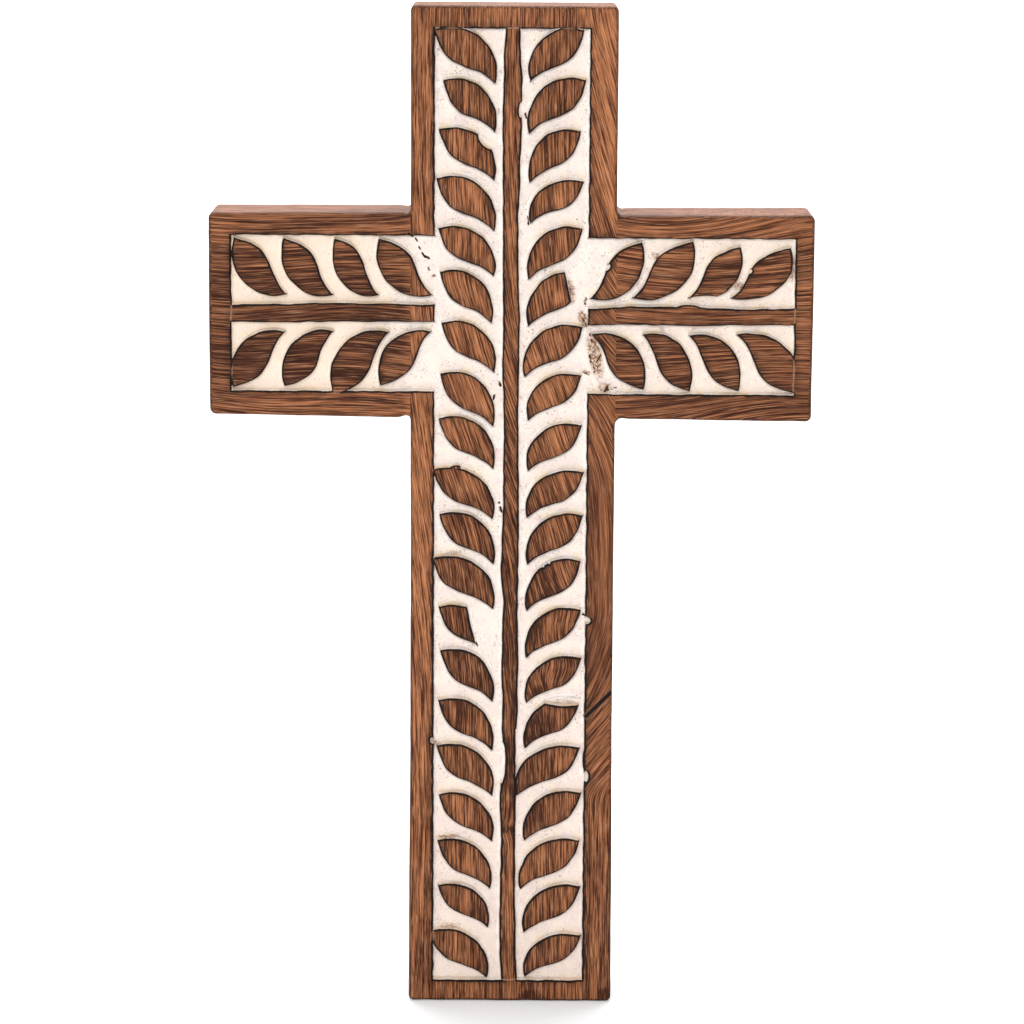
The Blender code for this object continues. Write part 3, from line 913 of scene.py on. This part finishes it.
def wall(rows):
    """Triangles between rows of point numbers that run round a closed outline."""
    near, far = rows[:-1], rows[1:]
    near_next, far_next = np.roll(near, -1, 1), np.roll(far, -1, 1)
    first = np.stack([near, far, far_next], -1).reshape(-1, 3)
    second = np.stack([near, far_next, near_next], -1).reshape(-1, 3)
    return np.concatenate([first, second])


# What the carving leaves on a mesh for the materials to read
VALUES = ("cut", "up", "rim", "score", "mark", "stain", "light", "calm",
          *(f"lean_{part}" for part in LEANS))


def put(name, data):
    """An object with its data, linked into the scene."""
    made = bpy.data.objects.new(name, data)
    bpy.context.scene.collection.objects.link(made)
    return made


class Shell:
    """Points, triangles and values of a piece while it is put together."""

    def __init__(self):
        self.points, self.faces, self.values, self.count = [], [], [], 0

    def add(self, spots, depth, values):
        """Add points at a depth behind the front's plane. Return their numbers."""
        self.points.append(np.column_stack([spots[:, 0], depth - THICKNESS, spots[:, 1]]))
        self.values.append({key: np.broadcast_to(values.get(key, 0.0), len(spots)) for key in VALUES})
        self.count += len(spots)
        return np.arange(self.count - len(spots), self.count)

    def make(self, name, material):
        """Make the piece in metres, smooth but for its sharp edges."""
        points = np.concatenate(self.points) / 1000
        mesh = bpy.data.meshes.new(name)
        mesh.from_pydata(points.tolist(), [], np.concatenate(self.faces).tolist())
        for key in VALUES:
            values = np.concatenate([part[key] for part in self.values]).astype(np.float32)
            mesh.attributes.new(key, "FLOAT", "POINT").data.foreach_set("value", values)
        mesh.shade_smooth()
        mesh.set_sharp_from_angle(angle=math.radians(50))
        mesh.materials.append(material)
        return put(name, mesh)


def back_spots(edge, carving, hole):
    """Spots on a board's back: rows inside its rim, and a wide grid."""
    rows = [carving.outline.row(offset) for offset in RIM_ROWS]
    x, z = np.meshgrid(np.arange(-90, 91, BACK_STEP), np.arange(-210, 91, BACK_STEP))
    grid = np.column_stack([x.ravel(), z.ravel()])
    spots = np.concatenate(rows + [grid])
    rim, _ = carving.outline.gap(spots, 1.0)
    spots = spots[within(spots, edge) & (rim > 0.04)]
    if len(hole):
        centre = hole.mean(0)
        spots = spots[np.hypot(*(spots - centre).T) > NAIL_HOLE / 2 + 1]
    return spots


def loose_spots(edge, carving, board):
    """Spots of a board's front that lie on no cut line: rows beside lines, and the open fields."""
    rows = np.concatenate([carving.outline.row(offset) for offset in RIM_ROWS])
    glue_row = edge[np.abs(np.abs(edge[:, 0]) - HALF_POST) < 0.5].copy()
    glue_row[:, 0] += JOINT_ROW * np.sign(glue_row[:, 0]) * (-1 if board == "post" else 1)
    return np.concatenate([carving.beside, rows, glue_row, carving.open])


def on_board(spots, edge):
    """Whether each spot lies on a board, and clear of its glued joints."""
    x = spots[:, 0]
    clear = np.abs(np.abs(x) - HALF_POST) > JOINT_CLEAR
    near_joint = np.abs(spots[:, 1]) < JOINT_REACH
    inside = (x > edge[:, 0].min()) & (x < edge[:, 0].max()) & (clear | ~near_joint)
    return inside & within(spots, edge)


def carve_front(shell, edge, carving, shape, board):
    """Add a board's carved front. Return its points' numbers and depths."""
    on_line = on_board(carving.on_line, edge)
    place = np.cumsum(on_line) - 1
    ties = [(int(place[a]), int(place[b])) for a, b in carving.ties if on_line[a] and on_line[b]]
    loose = loose_spots(edge, carving, board)
    spots = np.concatenate([carving.on_line[on_line], loose[on_board(loose, edge)]])
    found, faces = triangles(edge, np.zeros((0, 2)), spots, ties)
    depth, values = front_of(found, carving, shape, board)
    gap = np.abs(np.abs(found[:, 0]) - HALF_POST)
    in_joint = (values["rim"] > 0.5) & (np.abs(found[:, 1]) < JOINT_REACH) & (values["cut"] < -0.5)
    depth = depth + JOINT_DEPTH * np.clip(1 - gap / JOINT_ROW, 0, 1) * in_joint
    front = shell.add(found, depth, values)
    shell.faces.append(front[faces])
    return front, depth


def plain_back(shell, edge, hole, carving, shape, board):
    """Add a board's flat back, with its rounded edge. Return its points' numbers and depths."""
    found, faces = triangles(edge, hole, back_spots(edge, carving, hole), [])
    rim, _ = carving.outline.gap(found, 1.0)
    radius = shape.edge_round * 1000
    bend = np.clip(1 - rim / radius, 0, 1)
    depth = THICKNESS - radius * (1 - np.sqrt(1 - bend ** 2))
    back = shell.add(found, depth, {"cut": -REACH, "rim": np.clip(rim, 0, 4), **figure_of(found, board)})
    shell.faces.append(back[faces[:, ::-1]])
    return back, depth


def nail_hole(shell, centre, ring, mouth):
    """Add the blind hole in the post's back: rings of points down it, and a fan for its end."""
    bare = {"cut": -REACH, "rim": 1.0}
    rows = [mouth]
    for level in HOLE_ROWS:
        rows.append(shell.add(centre + ring * NAIL_HOLE / 2, np.full(len(ring), THICKNESS - level), bare))
    shell.faces.append(wall(np.array(rows[::-1])))
    middle = shell.add(centre[None], np.array([THICKNESS - NAIL_DEPTH]), bare)
    end = rows[-1]
    shell.faces.append(np.column_stack([np.full(len(end), middle[0]), end, np.roll(end, -1)]))


def carve_board(name, board, shape, material):
    """One board: a carved front, a plain back, and the wall that joins them."""
    carving = shared_carving(shape)
    edge = board_edge(carving, board, shape)
    size = len(edge)
    turn = np.linspace(0, 2 * math.pi, HOLE_POINTS, endpoint=False)[::-1]
    ring = np.column_stack([np.cos(turn), np.sin(turn)])
    centre = np.array([0, HEAD_HEIGHT - NAIL_DROP])
    hole = centre + ring * (NAIL_HOLE / 2 + HOLE_BEVEL) if board == "post" else np.zeros((0, 2))

    shell = Shell()
    front, depth = carve_front(shell, edge, carving, shape, board)
    back, back_depth = plain_back(shell, edge, hole, carving, shape, board)
    levels = [front[:size]]
    for step in range(1, SIDE_ROWS):
        share = step / SIDE_ROWS
        level = depth[:size] * (1 - share) + back_depth[:size] * share
        levels.append(shell.add(edge, level, {"cut": -REACH, "rim": np.minimum(level, THICKNESS - level),
                                              **figure_of(edge, board)}))
    levels.append(back[:size])
    shell.faces.append(wall(np.array(levels)))
    if len(hole):
        nail_hole(shell, centre, ring, back[size:size + len(hole)])

    piece = shell.make(name, material)
    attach(piece, "root")
    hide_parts(board if board == "post" else board + "_arm")


# What all three boards share, worked out once
_kept = {}


def shared_carving(shape):
    """The carving, worked out once for all three boards."""
    if "carving" not in _kept:
        carving = Carving(shape)
        carving.outline.points = drawn_in(np.random.default_rng(SEED + 2))
        stretch, normal = out_of(carving.outline.points)
        carving.outline.stretch, carving.outline.normal = -stretch, -normal
        carving.on_line, carving.ties, carving.beside = carved_spots(carving)
        carving.open = open_spots(carving, np.random.default_rng(SEED + 3))
        _kept["carving"] = carving
    return _kept["carving"]


def drawn_in(rng):
    """The outline's points, drawn in by up to a ninth of a millimetre as sanding leaves them.

    The arms' upper and lower edges also run out of square: the right arm
    grows towards its end, and the left one towards the post. The post widens
    a little towards its foot.
    """
    knots = trace(blank_outline(), RIM_STEP)
    _, normal = out_of(knots)
    shift = SANDED + np.clip(unevenness(knots, SAND_WAVER, SAND_SPANS, rng), *SAND_LIMITS)
    x, z = knots.T
    arm = smooth(np.abs(x), *ARM_SETS_IN)
    splay = np.interp(x, *zip(*ARM_SPLAY["lower"])) * smooth(-z, *EDGE_SETS_IN)
    splay += np.interp(x, *zip(*ARM_SPLAY["upper"])) * smooth(z, *EDGE_SETS_IN)
    widen = FOOT_SPLAY * np.sign(x) * smooth(-z, *FOOT_SETS_IN)
    return knots - normal * shift[:, None] + np.column_stack([widen, splay * arm])


class Net:
    """A node tree, and the steps that its values and colours are worked out in."""

    def __init__(self, tree):
        self.tree = tree

    def node(self, kind, inputs=(), **settings):
        """Put in a node, with its inputs as values or links. Return its outputs."""
        made = self.tree.nodes.new("ShaderNode" + kind)
        for key, value in settings.items():
            setattr(made, key, value)
        for key, value in dict(inputs).items():
            if isinstance(value, bpy.types.NodeSocket):
                self.tree.links.new(value, made.inputs[key])
            else:
                made.inputs[key].default_value = value
        return made.outputs

    def calc(self, operation, *values, clamp=False):
        """One step of arithmetic."""
        return self.node("Math", enumerate(values), operation=operation, use_clamp=clamp)[0]

    def times(self, first, second):
        """Two values multiplied."""
        return self.calc("MULTIPLY", first, second)

    def off_middle(self, value):
        """A value less one half."""
        return self.calc("SUBTRACT", value, 0.5)

    def step(self, value, start, end, low=0.0, high=1.0):
        """A smooth step of a value between two limits."""
        return self.node("MapRange", {"Value": value, "From Min": start, "From Max": end, "To Min": low,
                                      "To Max": high}, interpolation_type="SMOOTHSTEP")["Result"]

    def over(self, colour, share, coat, strength=1.0, kind="MIX"):
        """A colour with another, three numbers or a link, laid over it by a share."""
        if strength != 1.0:
            share = self.times(share, strength)
        if not isinstance(coat, bpy.types.NodeSocket):
            coat = (*coat, 1)
        return self.node("Mix", {0: share, 6: colour, 7: coat}, data_type="RGBA", blend_type=kind)[2]

    def noise(self, vector, scale, detail=2.0, roughness=0.5, distortion=0.0):
        """Smooth noise between nought and one."""
        return self.node("TexNoise", {"Vector": vector, "Scale": scale, "Detail": detail,
                                      "Roughness": roughness, "Distortion": distortion})["Fac"]

    def mapped(self, vector, scale, location=(0, 0, 0)):
        """A vector scaled by a different amount each way, and moved."""
        return self.node("Mapping", {"Vector": vector, "Scale": scale, "Location": location})[0]

    def parts(self, vector):
        """The three parts of a vector."""
        return self.node("SeparateXYZ", {0: vector})

    def attribute(self, name):
        """A value that the carving left on the mesh."""
        return self.node("Attribute", attribute_name=name)["Fac"]

    def give(self, **values):
        """Put out a group's results, and return the group."""
        end = self.tree.nodes.new("NodeGroupOutput")
        for key, value in values.items():
            self.tree.links.new(value, end.inputs[key])
        return self.tree


def new_group(name, takes, gives):
    """A node group with its sockets, each with its kind. Returns its net and what it takes."""
    group = bpy.data.node_groups.new(name, "ShaderNodeTree")
    for way, sockets in (("INPUT", takes), ("OUTPUT", gives)):
        for key, kind in sockets.items():
            group.interface.new_socket(key, in_out=way, socket_type="NodeSocket" + kind)
    return Net(group), group.nodes.new("NodeGroupInput").outputs


def grain_group():
    """Open-pored wood: broad tone, streaks, fibres and dark pores along the third axis.

    The vector is in millimetres, with its third axis along the grain. Each layer
    of noise is drawn out along the grain, and a finer one less so.
    """
    net, takes = new_group(
        "board_grain",
        {"Grain": "Vector", "Light": "Color", "Dark": "Color", "Shift": "Float", "Calm": "Float"},
        {"Color": "Color", "Height": "Float", "Shine": "Float"})
    grain = takes["Grain"]
    broad = net.noise(net.mapped(grain, (0.11, 0.11, 0.02)), 1.0)
    band = net.noise(net.mapped(grain, (0.42, 0.42, 0.022)), 1.0, 3.0, 0.6, 0.4)
    streak = net.noise(net.mapped(grain, (3.3, 3.3, 0.085), (7, 3, 1)), 1.0, 2.0, 0.5, 0.1)
    fibre = net.noise(net.mapped(grain, (1.5, 1.5, 0.11), (1, 9, 4)), 1.0)
    pore = net.noise(net.mapped(grain, (4.2, 4.2, 0.20), (5, 5, 8)), 1.0, 1.0)
    tone = net.calc("MULTIPLY_ADD", band, 0.9, -0.45)
    tone = net.calc("MULTIPLY_ADD", net.off_middle(streak), 2.9, tone)
    tone = net.calc("MULTIPLY_ADD", net.off_middle(fibre), 1.1, tone)
    quiet = net.calc("SUBTRACT", 1.0, takes["Calm"])
    # Shift lightens or darkens the tone by patch, and carries the painted shadow along the foot and the
    # painted highlight beside the crack
    tone = net.calc("MULTIPLY_ADD", tone, quiet, takes["Shift"])
    tone = net.calc("MULTIPLY_ADD", net.off_middle(broad), 0.7, tone)
    tone = net.calc("ADD", tone, 0.335, clamp=True)
    colour = net.over(takes["Dark"], tone, takes["Light"])
    fleck = net.times(net.step(pore, 0.42, 0.30), quiet)
    pore = net.times(net.step(pore, 0.57, 0.68), quiet)
    filled = net.over(colour, 1.0, (0.26, 0.20, 0.17), kind="MULTIPLY")
    colour = net.over(colour, pore, filled, 0.7)
    colour = net.over(colour, fleck, (0.55, 0.29, 0.16), 0.45)
    height = net.calc("MULTIPLY_ADD", pore, -1.0, net.times(fibre, 0.35))
    return net.give(Color=colour, Height=height, Shine=net.calc("MULTIPLY_ADD", pore, 0.25, 0.47))


def edge_group():
    """Where the burnt line, the scorch and the paint lie, from the distance to the cut.

    An edge that faces down hides its wall, so the line there runs on into the
    ground as painted shade under the edge, and is partly burnt edge and partly
    painted shade. One that faces up shows its wall, so the line stays at the top.
    The line grows broader towards the foot. The dark rim along the outer edge is
    partly burnt edge and partly painted shade where the rounding turns from the light.
    """
    net, takes = new_group(
        "cut_edges", {"Place": "Vector", "Cut": "Float", "Up": "Float", "Rim": "Float"},
        {"Line": "Float", "Scorch": "Float", "Paint": "Float", "Worn": "Float"})
    place, cut = takes["Place"], takes["Cut"]
    ragged = net.off_middle(net.noise(place, 2.2, 3.0, 0.6))
    slow = net.off_middle(net.noise(place, 0.35))
    # The cut's distance moved by the way the edge faces: up onto the wood, and down into the ground as
    # painted shade under the edge
    lifted = net.calc("MULTIPLY_ADD", takes["Up"], 0.24, net.calc("MULTIPLY_ADD", ragged, 0.25, cut))
    thick = net.calc("ADD", net.step(net.parts(place)[2], -30.0, -90.0, 0.0, 0.12), lifted)
    line = net.step(net.calc("MULTIPLY_ADD", slow, 0.7, thick), -0.56, -0.38)
    patch = net.step(slow, -0.12, 0.2)
    scorch = net.times(net.step(cut, -2.6, -0.2), net.calc("MULTIPLY_ADD", patch, 0.6, 0.3))
    # A dark rim along the outer edge: partly burnt edge, partly painted shade where the rounding turns from
    # the light
    rim = net.calc("MULTIPLY_ADD", ragged, 0.5, takes["Rim"])
    return net.give(Line=line, Scorch=scorch, Paint=net.step(lifted, 0.06, 0.18),
                    Worn=net.step(rim, 1.2, 0.1))


def paint_group():
    """Chalky paint: clouds of three tones, pale beside the walls, with dirt and brown smears.

    Ochre shows on walls that face up, and shade lies under edges that face down.
    """
    net, takes = new_group(
        "chalk_paint",
        {"Place": "Vector", "Cut": "Float", "Up": "Float", "Paint": "Color", "Stain": "Float"},
        {"Color": "Color", "Height": "Float"})
    place, cut, up, stain = takes["Place"], takes["Cut"], takes["Up"], takes["Stain"]
    cloud = net.noise(place, 0.22, 3.0)
    other = net.noise(net.mapped(place, (1, 1, 1), (31, 7, 3)), 0.3)
    fine = net.noise(place, 2.6, 3.0, 0.7)
    across, _, level = net.parts(place)

    # Clouds, the pale band beside the walls, and cream above an edge that faces up
    colour = net.over(takes["Paint"], net.step(cloud, 0.38, 0.6), (0.96, 0.84, 0.74))
    colour = net.over(colour, net.step(other, 0.46, 0.66, 0.0, 0.5), (0.88, 0.76, 0.73))
    halo = net.times(net.step(cut, 1.5, 0.7), net.step(other, 0.75, 0.35))
    colour = net.over(colour, halo, (0.99, 0.96, 0.93), 0.7)
    above = net.times(net.step(up, 0.2, 0.9), net.step(cut, 2.4, 0.6))
    colour = net.over(colour, net.times(above, net.step(cloud, 0.38, 0.62, 0.0, 0.8)), (0.94, 0.80, 0.62))

    # Ochre on walls that face up, and shade under edges that face down
    ochre = net.times(net.step(up, 0.3, 0.9), net.step(cut, 0.35, -0.05))
    ochre = net.times(ochre, net.step(cloud, 0.40, 0.62, 0.1, 0.75))
    colour = net.over(colour, ochre, (0.68, 0.43, 0.20))
    shade = net.times(net.step(up, 0.0, -0.8), net.step(cut, 1.1, 0.45))
    colour = net.over(colour, shade, (0.14, 0.08, 0.06), 0.55)

    # Marks of the gouge beside the walls, specks in some zones, grime and hairs
    track = net.calc("MULTIPLY_ADD", other, 1.6, net.calc("SUBTRACT", cut, 1.8))
    track = net.step(net.calc("ABSOLUTE", track), 0.13, 0.03)
    track = net.times(track, net.step(net.noise(place, 0.6, 1.0), 0.53, 0.60))
    colour = net.over(colour, track, (0.36, 0.30, 0.27), 0.5)
    zone = net.step(net.noise(net.mapped(place, (1, 1, 1), (3, 17, 9)), 0.14, 1.0), 0.46, 0.62)
    speck = net.times(net.step(net.noise(place, 1.3, 2.0, 0.6), 0.60, 0.68), zone)
    colour = net.over(colour, speck, (0.26, 0.20, 0.17), 0.8)
    colour = net.over(colour, net.step(fine, 0.46, 0.72, 0.0, 0.5), (0.60, 0.48, 0.42))
    hair = net.calc("ABSOLUTE", net.off_middle(net.noise(place, 0.42, 2.0, 0.5, 0.8)))
    hair = net.times(net.step(hair, 0.014, 0.004), net.step(other, 0.45, 0.6))
    colour = net.over(colour, hair, (0.40, 0.33, 0.29), 0.35)

    # Creamier out on the arms, darker towards the foot
    far = net.calc("ADD", net.step(across, -28.0, -50.0, 0.0, 0.48), net.step(across, 28.0, 50.0, 0.0, 0.2))
    colour = net.over(colour, far, (0.93, 0.74, 0.55))
    colour = net.over(colour, net.step(level, -60.0, -205.0, 0.0, 0.26), (0.80, 0.62, 0.52))

    # Brown smears with dark veins
    colour = net.over(colour, net.times(stain, net.step(fine, 0.40, 0.56, 0.15, 0.95)), (0.50, 0.28, 0.13))
    vein = net.calc("ABSOLUTE", net.off_middle(net.noise(place, 0.8, 3.0, 0.6)))
    colour = net.over(colour, net.times(net.step(vein, 0.085, 0.02), stain), (0.10, 0.04, 0.016), 0.95)
    return net.give(Color=colour, Height=net.calc("MULTIPLY_ADD", fine, 0.6, net.times(speck, -0.5)))


def board_material(name, light, dark, colours, grain_of):
    """Wood, its burnt edges and the paint in the ground, on one shader."""
    material = bpy.data.materials.new(name)
    material.use_nodes = True
    shader = material.node_tree.nodes["Principled BSDF"]
    net = Net(material.node_tree)
    groups = shared_groups()
    place = net.mapped(net.node("TexCoord")["Object"], (1000, 1000, 1000))
    cut, up, mark = (net.attribute(key) for key in ("cut", "up", "mark"))
    wood = net.node("Group", {"Grain": grain_of(net, place), "Light": (*light, 1), "Dark": (*dark, 1),
                              "Shift": net.attribute("light"), "Calm": net.attribute("calm")},
                    node_tree=groups["grain"])
    edges = net.node("Group", {"Place": place, "Cut": cut, "Up": up, "Rim": net.attribute("rim")},
                     node_tree=groups["edges"])
    chalk = net.node("Group", {"Place": place, "Cut": cut, "Up": up, "Paint": (*colours.paint, 1),
                               "Stain": net.attribute("stain")}, node_tree=groups["paint"])
    colour = net.over(wood["Color"], edges["Scorch"], colours.scorch, 0.62)
    # The dark outer rim: burnt edge with painted shade where the rounding turns from the light
    colour = net.over(colour, edges["Worn"], colours.scorch, 0.5)
    # The burnt line beside every cut, run on into the ground as painted shade under edges that face down
    colour = net.over(colour, edges["Line"], colours.scorch, 0.98)
    colour = net.over(colour, net.attribute("score"), (0.52, 0.28, 0.17), 0.7)
    colour = net.over(colour, edges["Paint"], chalk["Color"])
    colour = net.over(colour, net.step(mark, 0.15, 0.6), (0.20, 0.09, 0.04))
    colour = net.over(colour, net.step(mark, 0.35, 0.8), colours.scorch)
    wood_height = net.times(wood["Height"], net.calc("SUBTRACT", 1.0, edges["Paint"]))
    height = net.calc("MULTIPLY_ADD", net.times(chalk["Height"], edges["Paint"]), 0.5, wood_height)
    bump = net.node("Bump", {"Height": height, "Distance": 0.00012, "Strength": 0.8})
    rough = net.calc("MULTIPLY_ADD", edges["Paint"], 0.35, wood["Shine"])
    for key, value in (("Base Color", colour), ("Roughness", rough), ("Normal", bump[0])):
        net.tree.links.new(value, shader.inputs[key])
    shader.inputs["Specular IOR Level"].default_value = 0.12
    return material


def post_grain(net, place):
    """The post's grain runs up, and leans by the part of the board it lies in."""
    x, y, z = net.parts(place)
    left, right, _, _ = post_panel()
    middle = net.attribute("lean_middle")
    lean = middle
    for side, share in (("left", net.calc("LESS_THAN", x, left)),
                        ("right", net.calc("GREATER_THAN", x, right))):
        change = net.calc("SUBTRACT", net.attribute(f"lean_{side}"), middle)
        lean = net.calc("MULTIPLY_ADD", share, change, lean)
    return net.node("CombineXYZ", {0: net.calc("ADD", x, lean), 1: y, 2: z})[0]


def arm_grain(net, place):
    """The arms' grain runs level, with a slow wave, and is twice as long as the post's."""
    x, y, z = net.parts(place)
    across = net.calc("ADD", z, net.attribute("lean_middle"))
    return net.node("CombineXYZ", {0: across, 1: y, 2: net.calc("MULTIPLY_ADD", x, 0.5, 400.0)})[0]


def shared_groups():
    """The node groups, built once."""
    if "groups" not in _kept:
        _kept["groups"] = {"grain": grain_group(), "edges": edge_group(), "paint": paint_group()}
    return _kept["groups"]


class WALLCROSS_OT_post(bpy.types.Operator):
    """Carve the upright board"""
    bl_idname = "wallcross.carve_post"
    bl_label = "Carve the post"

    def execute(self, context):
        colours = context.scene.cross_colours
        material = board_material("post_wood", colours.post_light, colours.post_dark, colours, post_grain)
        carve_board("carved_post", "post", context.scene.cross_shape, material)
        return {"FINISHED"}


class WALLCROSS_OT_arms(bpy.types.Operator):
    """Carve the two arms"""
    bl_idname = "wallcross.carve_arms"
    bl_label = "Carve the arms"

    def execute(self, context):
        colours = context.scene.cross_colours
        material = board_material("arm_wood", colours.arm_light, colours.arm_dark, colours, arm_grain)
        for side in SIDES:
            carve_board(f"carved_{side}_arm", side, context.scene.cross_shape, material)
        return {"FINISHED"}


def lamp(name, power, size, place, aim):
    """A square soft light that points at a spot."""
    light = bpy.data.lights.new(name, "AREA")
    light.energy = power
    light.shape = "SQUARE"
    light.size = size
    holder = put(name, light)
    holder.location = place
    holder.rotation_euler = (Vector(aim) - Vector(place)).to_track_quat("-Z", "Y").to_euler()


class WALLCROSS_OT_studio(bpy.types.Operator):
    """Lay the pale floor and set the lights and the camera"""
    bl_idname = "wallcross.set_studio"
    bl_label = "Set up the studio"

    def execute(self, context):
        studio = context.scene.cross_studio
        floor_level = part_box("post")[0].z
        make_floor(floor_level, studio.floor)
        lamp("top_light", studio.top_light, 1.0, (0.0, 0.35, 1.2), (0, 0, 0))
        lamp("front_light", studio.front_light, 1.6, (-0.5, -1.9, 0.7), (0, 0, -0.06))
        world = bpy.data.worlds.new("studio")
        world.use_nodes = True
        background = world.node_tree.nodes["Background"]
        background.inputs["Color"].default_value = (1, 1, 1, 1)
        background.inputs["Strength"].default_value = 0.45
        context.scene.world = world
        context.scene.view_settings.view_transform = "Standard"
        set_camera(context.scene)
        return {"FINISHED"}


def make_floor(level, colour):
    """The floor and the sweep behind it: a level, a quarter round and a wall, carried sideways.

    The sweep glows more as it rises, so that it stays pale behind the cross.
    """
    half_width, bend_from, radius, top = 4.0, 1.2, 0.8, 4.0
    turn = np.linspace(0, math.pi / 2, 24)
    y = np.concatenate([[-half_width, bend_from / 2], bend_from + radius * np.sin(turn),
                        [bend_from + radius]])
    z = np.concatenate([[0.0, 0.0], radius * (1 - np.cos(turn)), [top]])
    x = np.linspace(-half_width, half_width, 9)
    grid = np.stack(np.broadcast_arrays(x[:, None], y, z + level), -1).reshape(-1, 3)
    rows = np.arange(len(grid)).reshape(len(x), len(y))
    faces = np.stack([rows[:-1, :-1], rows[1:, :-1], rows[1:, 1:], rows[:-1, 1:]], -1).reshape(-1, 4)
    mesh = bpy.data.meshes.new("floor")
    mesh.from_pydata(grid.tolist(), [], faces.tolist())
    mesh.shade_smooth()
    material = bpy.data.materials.new("floor")
    material.use_nodes = True
    shader = material.node_tree.nodes["Principled BSDF"]
    net = Net(material.node_tree)
    rise = net.parts(net.node("TexCoord")["Object"])[2]
    glow = net.over((0.19, 0.19, 0.19, 1), net.step(rise, level - 0.05, level + 0.2), (1, 1, 1))
    net.tree.links.new(glow, shader.inputs["Emission Color"])
    for key, value in (("Base Color", (*colour, 1)), ("Roughness", 0.8), ("Emission Strength", 1.0)):
        shader.inputs[key].default_value = value
    mesh.materials.append(material)
    put("floor", mesh)


def set_camera(scene):
    """The camera stands a little above the middle, and looks down on it with a long lens.

    Its distance, pitch and roll bring the cross's corners to where the photo has them.
    """
    aim = Vector((-0.00007, 0, -0.06403))
    distance, pitch, roll = 1.1682, math.radians(10.40), math.radians(0.323)
    camera = bpy.data.cameras.new("camera")
    camera.lens = 133.3
    camera.sensor_width = 36
    holder = put("camera", camera)
    holder.location = aim + Vector((0, -math.cos(pitch), math.sin(pitch))) * distance
    look = (aim - holder.location).to_track_quat("-Z", "Y").to_matrix()
    right, up = look.col[0].copy(), look.col[1].copy()
    look.col[0] = right * math.cos(roll) + up * math.sin(roll)
    look.col[1] = up * math.cos(roll) - right * math.sin(roll)
    holder.rotation_euler = look.to_euler()
    scene.camera = holder


class WALLCROSS_PT_panel(bpy.types.Panel):
    """The wall cross's sizes, colours and steps"""
    bl_label = "Wall Cross"
    bl_idname = "WALLCROSS_PT_panel"
    bl_space_type = "VIEW_3D"
    bl_region_type = "UI"
    bl_category = "Wall Cross"

    def draw(self, context):
        scene = context.scene
        for settings in (scene.cross_shape, scene.cross_colours, scene.cross_studio):
            box = self.layout.box()
            for key in settings.__annotations__:
                box.prop(settings, key)
        for operator in STEPS:
            self.layout.operator(operator.bl_idname)


STEPS = (WALLCROSS_OT_studio, WALLCROSS_OT_post, WALLCROSS_OT_arms)
SETTINGS = {"cross_shape": CrossShape, "cross_colours": CrossColours, "cross_studio": CrossStudio}


def register():
    """Register the settings, the steps and the panel."""
    for settings in SETTINGS.values():
        bpy.utils.register_class(settings)
    for key, settings in SETTINGS.items():
        setattr(bpy.types.Scene, key, bpy.props.PointerProperty(type=settings))
    for step in (*STEPS, WALLCROSS_PT_panel):
        bpy.utils.register_class(step)


def unregister():
    """Take back what register added."""
    for step in (WALLCROSS_PT_panel, *reversed(STEPS)):
        bpy.utils.unregister_class(step)
    for key in SETTINGS:
        delattr(bpy.types.Scene, key)
    for settings in SETTINGS.values():
        bpy.utils.unregister_class(settings)


def main():
    """Register the steps, set the studio, and carve the boards."""
    register()
    bpy.ops.wallcross.set_studio()
    bpy.ops.wallcross.carve_post()
    bpy.ops.wallcross.carve_arms()


if __name__ == "__main__":
    main()
